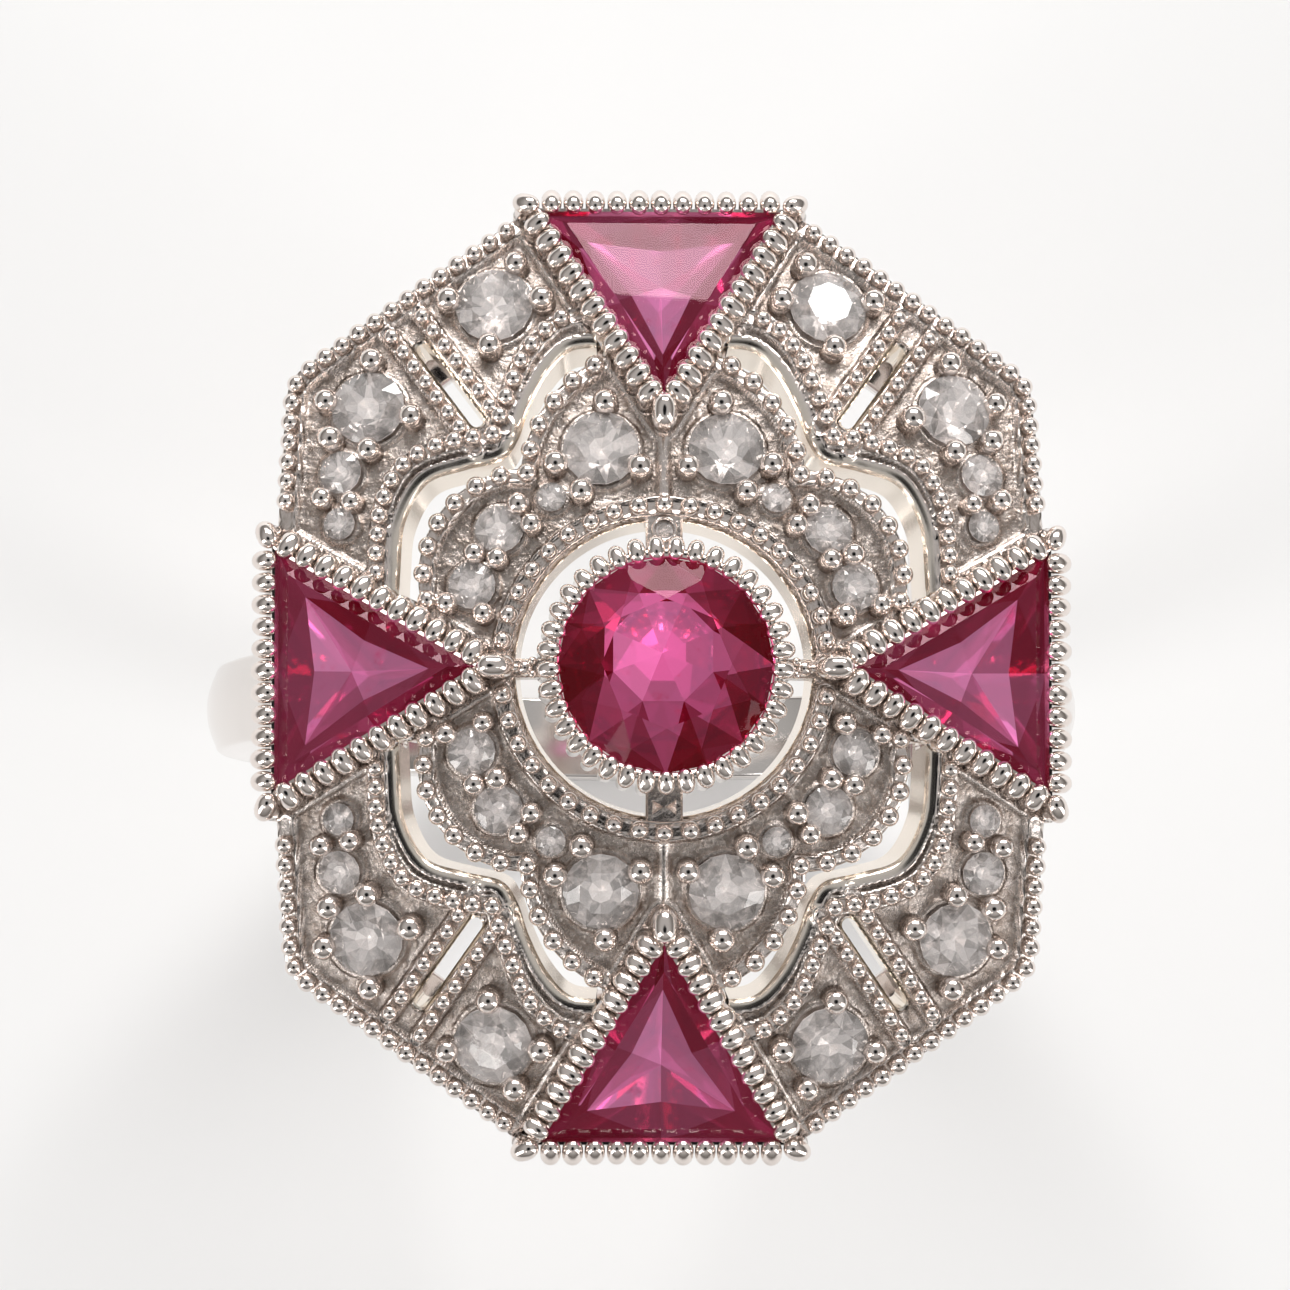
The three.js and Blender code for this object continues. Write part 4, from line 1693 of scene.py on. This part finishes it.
@dataclass
class Band:
    """The polished band, which flares into two shoulders.

    Args:
        radius: inside of the band.
        thickness: thickness at the back.
        shoulder_thickness: thickness at the shoulders.
        width: width at the back.
        shoulder_width: width at the shoulders.
        crown: how much the outside bulges along the middle.
        end: angle from the top where a shoulder stops, in degrees.
        thicken: angle where it starts to thicken.
        flare: angle where it starts to widen.
        heel: how far its inside is rounded off at a shoulder's end.
        heel_span: angle over which it is rounded off, in degrees.
        edge: radius of the outer edges.
        inner_edge: radius of the inner edges.
        steps: number of steps round the band.
    """

    radius: float = 8.45
    thickness: float = 1.35
    shoulder_thickness: float = 2.1
    width: float = 1.9
    shoulder_width: float = 7.2
    crown: float = 0.2
    end: float = 36.0
    thicken: float = 80.0
    flare: float = 66.0
    heel: float = 1.0
    heel_span: float = 7.0
    edge: float = 0.16
    inner_edge: float = 0.1
    steps: int = 240

    def swell(self, from_top: float, start: float) -> float:
        """How far the band has swelled towards a shoulder, from 0 to 1."""
        s = min(max((start - from_top) / (start - self.end), 0), 1)
        return s * s

    def section(self, from_top: float) -> list[tuple[float, float]]:
        """The band's rounded section.

        Args:
            from_top: angle from the top, in degrees.

        Returns:
            Its outline as (out, across).
        """
        thick = self.thickness + (self.shoulder_thickness - self.thickness) * self.swell(from_top, self.thicken)
        heel = self.heel * max((self.end + self.heel_span - from_top) / self.heel_span, 0) ** 2
        half = (self.width + (self.shoulder_width - self.width) * self.swell(from_top, self.flare)) / 2
        edge, inner = self.edge, self.inner_edge
        crest = [(thick - self.crown * t * t, t * (half - edge)) for t in np.linspace(-1, 1, 17)]
        top = thick - self.crown - edge
        right = [(top + edge * math.cos(a), half - edge + edge * math.sin(a)) for a in np.linspace(0, NOON, 6)[1:]]
        right += [
            (heel + inner - inner * math.sin(a), half - inner + inner * math.cos(a)) for a in np.linspace(0, NOON, 5)
        ]
        return crest + right + [(out, -across) for out, across in right[::-1]]

    def build(self) -> bpy.types.Object:
        """Builds the band.

        Returns:
            The band.
        """
        rings = []
        for degrees in np.linspace(self.end, 360 - self.end, self.steps + 1):
            a = math.radians(degrees)
            outline = self.section(min(degrees, 360 - degrees))
            rings.append([
                [(self.radius + o) * math.sin(a), across, (self.radius + o) * math.cos(a)] for o, across in outline
            ])
        form = Form()
        loft(form, np.array(rings)[::-1], closed=False)
        return form.build("polished_band")


# ---- Shaders ----


class Value:
    """A shader value that adds Math nodes when it is used in a sum."""

    def __init__(self, graph: "Graph", output: bpy.types.NodeSocket) -> None:
        """Wraps an output of a graph's node."""
        self.graph = graph
        self.output = output

    def _math(self, operation: str, left: "Value | float", right: "Value | float") -> "Value":
        """One Math node with two values."""
        return self.graph.add("ShaderNodeMath", {"operation": operation}, {0: left, 1: right})

    def __add__(self, other: "Value | float") -> "Value":
        """Sum."""
        return self._math("ADD", self, other)

    __radd__ = __add__

    def __sub__(self, other: "Value | float") -> "Value":
        """Difference."""
        return self._math("SUBTRACT", self, other)

    def __rsub__(self, other: "Value | float") -> "Value":
        """Difference from a number."""
        return self._math("SUBTRACT", other, self)

    def __mul__(self, other: "Value | float") -> "Value":
        """Product."""
        return self._math("MULTIPLY", self, other)

    __rmul__ = __mul__


class Graph:
    """The nodes of one material or world."""

    def __init__(self, owner: bpy.types.Material | bpy.types.World) -> None:
        """Empties the owner's node tree.

        Args:
            owner: the material or world.
        """
        owner.use_nodes = True
        self.tree = owner.node_tree
        self.tree.nodes.clear()

    def add(
        self, kind: str, settings: dict[str, object], inputs: dict[int | str, object], output: int | str = 0
    ) -> Value:
        """Adds a node.

        Args:
            kind: the node's type.
            settings: its properties, with a ramp's stops as (place, colour) under "stops".
            inputs: values or links of its sockets, by name or number.
            output: which output is wanted.

        Returns:
            That output.
        """
        node = self.tree.nodes.new(kind)
        for name, value in settings.items():
            if name == "stops":
                ramp = node.color_ramp.elements
                while len(ramp) < len(value):
                    ramp.new(0.5)
                for element, (place, color) in zip(ramp, value):
                    element.position, element.color = place, (*color, 1.0)
            else:
                setattr(node, name, value)
        for key, value in inputs.items():
            if isinstance(value, Value):
                self.tree.links.new(value.output, node.inputs[key])
            else:
                node.inputs[key].default_value = value
        return Value(self, node.outputs[output]) if node.outputs else Value(self, None)

    def blend(self, factor: Value, a: object, b: object) -> Value:
        """Mixes two colours, with a factor for how much of the second there is."""
        return self.add("ShaderNodeMix", {"data_type": "RGBA"}, {0: factor, 6: a, 7: b}, 2)

    def grain(self, size: float, detail: float = 3.0, roughness: float = 0.55) -> Value:
        """Noise that sits on the object.

        Args:
            size: size of its marks, in millimetres.
            detail: how many finer layers it has.
            roughness: how strong the finer layers are.

        Returns:
            The noise, from 0 to 1.
        """
        place = self.add("ShaderNodeTexCoord", {}, {}, "Object")
        inputs = {"Vector": place, "Scale": 1 / (size * MM), "Detail": detail, "Roughness": roughness}
        return self.add("ShaderNodeTexNoise", {}, inputs, 0)


Color = tuple[float, float, float]


def rgba(color: Color) -> tuple[float, float, float, float]:
    """An opaque colour."""
    return (*color, 1.0)


@dataclass(frozen=True)
class WhiteGold:
    """White gold, polished on its high places and dull and grained in its recesses, which painted shade darkens.

    Args:
        name: name of the material.
        bright: colour of the polished metal.
        ground: colour of the recesses, the tooled ground's patina with painted shade on it.
        unplated: warmer colour of the pierced walls, which the plating doesn't reach.
        polish: roughness of the polished metal.
        matt: roughness of the ground.
        grain: size of the tooled grain, in millimetres.
        bump: strength of the grain's bumps.
    """

    name: str
    bright: Color = (0.875, 0.795, 0.748)
    ground: Color = (0.35, 0.285, 0.245)
    unplated: Color = (0.93, 0.85, 0.72)
    polish: float = 0.1
    matt: float = 0.26
    grain: float = 0.09
    bump: float = 0.75

    def material(self) -> bpy.types.Material:
        """Builds the material.

        Returns:
            The material.
        """
        material = bpy.data.materials.new(self.name)
        g = Graph(material)
        mark = g.add("ShaderNodeAttribute", {"attribute_name": "recess"}, {}, "Fac")
        recess = g.add("ShaderNodeMath", {"operation": "MAXIMUM"}, {0: mark, 1: 0.0})
        bare = g.add("ShaderNodeMath", {"operation": "MAXIMUM"}, {0: -1.0 * mark, 1: 0.0})
        tooled = g.grain(self.grain, 4.0, 0.65)
        cut = g.grain(0.28, 2.0)
        worn = g.grain(1.4, 3.0)
        fine = g.grain(0.035, 2.0)
        # Painted shade: the recess mark darkens the metal towards the ground colour. Part of it is tooled patina and
        # part is shade painted into hollows and low places.
        dark_grain = 1.2 * tooled + 1.3 * cut - 0.5
        patina_and_shade = g.add("ShaderNodeMath", {"operation": "MULTIPLY", "use_clamp": True}, {0: recess, 1: dark_grain})
        bright = g.blend(worn, rgba(self.bright), rgba(tuple(0.93 * c for c in self.bright)))
        color = g.blend(patina_and_shade, g.blend(bare, bright, rgba(self.unplated)), rgba(self.ground))
        dullness = recess * (0.5 + 0.6 * tooled) + 0.8 * bare
        rough = self.polish + 0.06 * worn + (self.matt - self.polish) * dullness + 0.03 * fine
        relief = recess * (0.7 * tooled + 1.6 * cut) + 0.06 * worn + 0.012 * fine
        bump = g.add("ShaderNodeBump", {}, {"Strength": self.bump, "Distance": 0.05 * MM, "Height": relief}, "Normal")
        shader = g.add(
            "ShaderNodeBsdfPrincipled", {},
            {"Base Color": color, "Roughness": rough, "Metallic": 1.0, "Normal": bump}, "BSDF",
        )
        g.add("ShaderNodeOutputMaterial", {}, {"Surface": shader})
        return material


@dataclass(frozen=True)
class Gemstone:
    """A cut stone: clear above its girdle, with facets below that throw the light back, and painted sparkle and shade
    in its facets' colours.

    Args:
        name: name of the material.
        clear: colour of the crown facets with the most painted sparkle.
        dim: colour of those with the least, a painted shade.
        bright: colour of the facets below with the most painted sparkle.
        deep: colour of those with the least, a painted shade.
        cloud: colour of the clouds.
        index: index of refraction.
        gloss: how much of what its surface could mirror it does, as a colour.
        transmission: how much of the light goes through the crown.
        sheen: how much the facets below are like a mirror.
        glow: how much they glow of themselves though they are no lamp, a painted light.
        cloud_size: size of the clouds, in millimetres.
        cloud_floor: how much of the noise is clear.
    """

    name: str
    clear: Color
    dim: Color
    bright: Color
    deep: Color
    cloud: Color
    index: float
    gloss: Color
    transmission: float
    sheen: float
    glow: float
    cloud_size: float
    cloud_floor: float

    def veil(self, g: Graph) -> Value:
        """Clouds in the stone, from 0 to 1.

        Args:
            g: the graph of the material.

        Returns:
            The clouds.
        """
        mist = g.grain(self.cloud_size, 5.0, 0.6)
        full = self.cloud_floor + 0.22
        return g.add("ShaderNodeMapRange", {}, {0: mist, 1: self.cloud_floor, 2: full, 3: 0.0, 4: 1.0})

    def crown(self) -> bpy.types.Material:
        """Builds the material of the facets above the girdle.

        Returns:
            The material.
        """
        material = bpy.data.materials.new(self.name)
        g = Graph(material)
        veil = self.veil(g)
        facet = g.add("ShaderNodeAttribute", {"attribute_name": "facet"}, {}, "Fac")
        # Painted sparkle and shade: each crown facet's colour runs from dim to clear by its painted brightness.
        shade = g.blend(facet, rgba(self.dim), rgba(self.clear))
        color = g.blend(veil, shade, rgba(self.cloud))
        inputs = {
            "Base Color": color, "Roughness": 0.01 + 0.06 * veil, "Metallic": 0.0, "IOR": self.index,
            "Transmission Weight": self.transmission, "Specular Tint": rgba(self.gloss),
        }
        shader = g.add("ShaderNodeBsdfPrincipled", {}, inputs, "BSDF")
        g.add("ShaderNodeOutputMaterial", {}, {"Surface": shader})
        return material

    def back(self) -> bpy.types.Material:
        """Builds the material of the facets below the girdle.

        Returns:
            The material.
        """
        material = bpy.data.materials.new(f"{self.name}_back")
        g = Graph(material)
        facet = g.add("ShaderNodeAttribute", {"attribute_name": "facet"}, {}, "Fac")
        veil = self.veil(g)
        # Painted sparkle and shade: each facet below runs from deep to bright by its painted brightness.
        shade = g.blend(facet, rgba(self.deep), rgba(self.bright))
        color = g.blend(0.6 * veil, shade, rgba(self.cloud))
        # Painted light: the facets below glow of themselves, though they are no lamp.
        inputs = {
            "Base Color": color, "Roughness": 0.05 + 0.2 * veil, "Metallic": self.sheen, "IOR": self.index,
            "Emission Color": color, "Emission Strength": self.glow,
        }
        shader = g.add("ShaderNodeBsdfPrincipled", {}, inputs, "BSDF")
        g.add("ShaderNodeOutputMaterial", {}, {"Surface": shader})
        return material

    def materials(self) -> tuple[bpy.types.Material, bpy.types.Material]:
        """Both materials, the crown's first."""
        return self.crown(), self.back()


@dataclass(frozen=True)
class Paper:
    """The pale floor's matt paper.

    Args:
        name: name of the material.
        color: its colour.
    """

    name: str = "pale_paper"
    color: Color = (0.84, 0.835, 0.83)

    def material(self) -> bpy.types.Material:
        """Builds the material.

        Returns:
            The material.
        """
        material = bpy.data.materials.new(self.name)
        g = Graph(material)
        shader = g.add("ShaderNodeBsdfPrincipled", {}, {"Base Color": rgba(self.color), "Roughness": 0.8}, "BSDF")
        g.add("ShaderNodeOutputMaterial", {}, {"Surface": shader})
        return material


BAND_GOLD = WhiteGold("band_white_gold", bright=(0.83, 0.785, 0.755), polish=0.07)
PLAQUE_GOLD = WhiteGold("plaque_white_gold")
CENTER_RUBY = Gemstone(
    "center_ruby", clear=(0.98, 0.55, 0.78), dim=(0.3, 0.007, 0.024),
    bright=(1.0, 0.42, 0.74), deep=(0.2, 0.003, 0.014),
    cloud=(0.75, 0.04, 0.13), index=1.77, gloss=(0.2, 0.15, 0.16), transmission=1.0, sheen=0.92, glow=0.46,
    cloud_size=0.5, cloud_floor=0.62,
)
TRIANGLE_RUBY = Gemstone(
    "triangle_ruby", clear=(0.99, 0.62, 0.84), dim=(0.45, 0.02, 0.09),
    bright=(1.0, 0.56, 0.85), deep=(0.2, 0.003, 0.022),
    cloud=(0.72, 0.05, 0.2), index=1.77, gloss=(0.3, 0.2, 0.22), transmission=1.0, sheen=0.92, glow=0.4,
    cloud_size=0.5, cloud_floor=0.62,
)
DIAMOND = Gemstone(
    "diamond", clear=(1.0, 0.95, 0.925), dim=(0.42, 0.385, 0.365),
    bright=(1.0, 0.965, 0.95), deep=(0.09, 0.082, 0.078),
    cloud=(0.98, 0.905, 0.87), index=2.2, gloss=(0.5, 0.49, 0.48), transmission=0.74, sheen=0.75, glow=0.46,
    cloud_size=0.22, cloud_floor=0.5,
)


# ---- Studio ----


@dataclass
class Studio:
    """The floor, the soft lights and the camera.

    Args:
        distance: from the camera to the plaque, in metres.
        width: width of the view at the plaque, in metres.
        lean_south: how far the camera leans south of straight up, in degrees.
        lean_west: how far it leans west, in degrees.
        aim: place that it looks at, in metres.
        sensor: width of the camera's sensor, in millimetres.
        gap: direction of the tent's dark gap.
        gap_edge: cosines of the angles where the gap's soft edge starts and ends.
        floor_steps: number of steps round the floor.
    """

    distance: float = 0.150
    width: float = 0.02716
    lean_south: float = 4.8
    lean_west: float = 2.3
    aim: tuple[float, float, float] = (-0.00036, 0.00058, 0.0112)
    sensor: float = 36.0
    gap: tuple[float, float, float] = (-0.04, -0.084, 0.996)
    gap_edge: tuple[float, float] = (0.93, 0.96)
    floor_steps: int = 96

    def build(self, floor_height: float) -> None:
        """Sets up the floor, the lights and the camera.

        Args:
            floor_height: height of the floor, in metres.
        """
        self.camera()
        self.floor(floor_height)
        self.sky()
        for name, place, size, power in (
            ("soft_box_north", (0.03, 0.313, 0.19), (0.3, 0.12), 1.45),
            ("soft_box_west", (-0.28, -0.18, 0.15), (0.12, 0.24), 0.45),
            ("soft_box_east", (0.29, -0.15, 0.15), (0.12, 0.24), 0.38),
            ("glint_south_west", (-0.12, -0.2, 0.26), (0.04, 0.04), 0.02),
            ("glint_south_east", (0.16, -0.14, 0.28), (0.04, 0.04), 0.02),
        ):
            self.soft_box(name, place, size, power)

    def camera(self) -> None:
        """Makes the camera that looks down on the plaque."""
        data = bpy.data.cameras.new("camera")
        camera = bpy.data.objects.new("camera", data)
        bpy.context.scene.collection.objects.link(camera)
        lean = Vector((-math.tan(math.radians(self.lean_west)), -math.tan(math.radians(self.lean_south)), 1.0))
        back = lean.normalized()
        right = Vector((0.0, 1.0, 0.0)).cross(back).normalized()
        axes = Matrix((right, back.cross(right), back)).transposed()
        camera.location = Vector(self.aim) + back * self.distance
        camera.rotation_euler = axes.to_euler()
        data.sensor_width = self.sensor
        data.lens = self.sensor * self.distance / self.width
        data.clip_start = 0.005
        data.clip_end = 20.0
        bpy.context.scene.camera = camera
        bpy.context.scene.view_settings.view_transform = "Standard"

    def floor(self, height: float) -> None:
        """Makes the pale floor under the band, with a gentle rise far off.

        Args:
            height: height of the floor, in metres.
        """
        form = Form()
        steps = self.floor_steps
        angles = 2 * math.pi * np.arange(steps) / steps
        rings = [(0.0, 0.0), (60.0, 0.0), (400.0, 0.0), (1500.0, 0.0), (2600.0, 120.0)]
        points = [[0.0, 0.0, 0.0]]
        for radius, rise in rings[1:]:
            points += [[radius * math.cos(a), radius * math.sin(a), rise] for a in angles]
        faces = [[0, 1 + k, 1 + (k + 1) % steps] for k in range(steps)]
        for level in range(len(rings) - 2):
            a, b = 1 + level * steps, 1 + (level + 1) * steps
            faces += [[a + k, b + k, b + (k + 1) % steps, a + (k + 1) % steps] for k in range(steps)]
        form.add(np.array(points) + [0, 0, height / MM], faces)
        floor = form.build("floor")
        floor.data.materials.append(Paper().material())
        floor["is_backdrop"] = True

    def sky(self) -> None:
        """A soft grey tent, dark straight above where the lens looks through it."""
        world = bpy.data.worlds.new("studio")
        bpy.context.scene.world = world
        g = Graph(world)
        direction = g.add("ShaderNodeTexCoord", {}, {}, "Generated")
        height = g.add("ShaderNodeSeparateXYZ", {}, {0: direction}, "Z")
        stops = [
            (0.0, (0.15, 0.142, 0.133)), (0.3, (0.24, 0.232, 0.223)),
            (0.65, (0.45, 0.445, 0.437)), (1.0, (0.48, 0.48, 0.48)),
        ]
        tent = g.add("ShaderNodeValToRGB", {"stops": stops}, {0: height})
        toward = g.add("ShaderNodeVectorMath", {"operation": "DOT_PRODUCT"}, {0: direction, 1: self.gap}, "Value")
        start, full = self.gap_edge
        gap = g.add("ShaderNodeMapRange", {}, {0: toward, 1: start, 2: full, 3: 0.0, 4: 1.0})
        color = g.blend(gap, tent, rgba((0.004, 0.004, 0.005)))
        background = g.add("ShaderNodeBackground", {}, {"Color": color, "Strength": 1.0}, "Background")
        g.add("ShaderNodeOutputWorld", {}, {"Surface": background})

    def soft_box(self, name: str, place: Sequence[float], size: Sequence[float], power: float) -> None:
        """Adds one rectangular light that faces the plaque.

        Args:
            name: its name.
            place: its place, in metres.
            size: its width and height, in metres.
            power: its power in watts.
        """
        data = bpy.data.lights.new(name, "AREA")
        data.shape = "RECTANGLE"
        data.size, data.size_y = size
        data.energy = power
        light = bpy.data.objects.new(name, data)
        bpy.context.scene.collection.objects.link(light)
        light.location = Vector(place)
        light.rotation_euler = (Vector(self.aim) - light.location).to_track_quat("-Z", "Y").to_euler()


# ---- Making ----


def settle(piece: bpy.types.Object, node: str, materials: Sequence[bpy.types.Material]) -> None:
    """Dresses a piece and lets it stand for its node.

    Args:
        piece: the piece.
        node: the node that it stands for.
        materials: its materials, in the order of its faces' numbers.
    """
    for material in materials:
        piece.data.materials.append(material)
    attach(piece, "root")
    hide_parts(node)
    LOG.info("%s stands for %s: %d faces", piece.name, node, len(piece.data.polygons))


def main() -> None:
    """Builds the ring and its studio."""
    logging.basicConfig(level=logging.INFO, format="%(name)s: %(message)s")
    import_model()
    cad_low, cad_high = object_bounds()
    Studio().build(cad_low[2])

    plaque_gold = [PLAQUE_GOLD.material()]
    band_gold = [BAND_GOLD.material()]
    plaque = Plaque()
    for piece, node in plaque.build():
        settle(piece, node, plaque_gold)
    for side in Side:
        settle(TriangleCollet().build(side), f"triangle_collet_{side.word}", plaque_gold)
        settle(Bridges().build(side), f"bridge_{side.word}", plaque_gold)
    settle(CenterCollet().build(), "center_collet", plaque_gold)

    stones = Stones(plaque)
    settle(stones.center(), "center_ruby", CENTER_RUBY.materials())
    triangle_ruby = TRIANGLE_RUBY.materials()
    for side in Side:
        settle(stones.triangle(side), f"triangle_ruby_{side.word}", triangle_ruby)
    diamond = DIAMOND.materials()
    for piece, node in stones.diamonds():
        settle(piece, node, diamond)

    settle(Gallery().build(), "gallery_basket", band_gold)
    settle(Band().build(), "shank", band_gold)


if __name__ == "__main__":
    main()
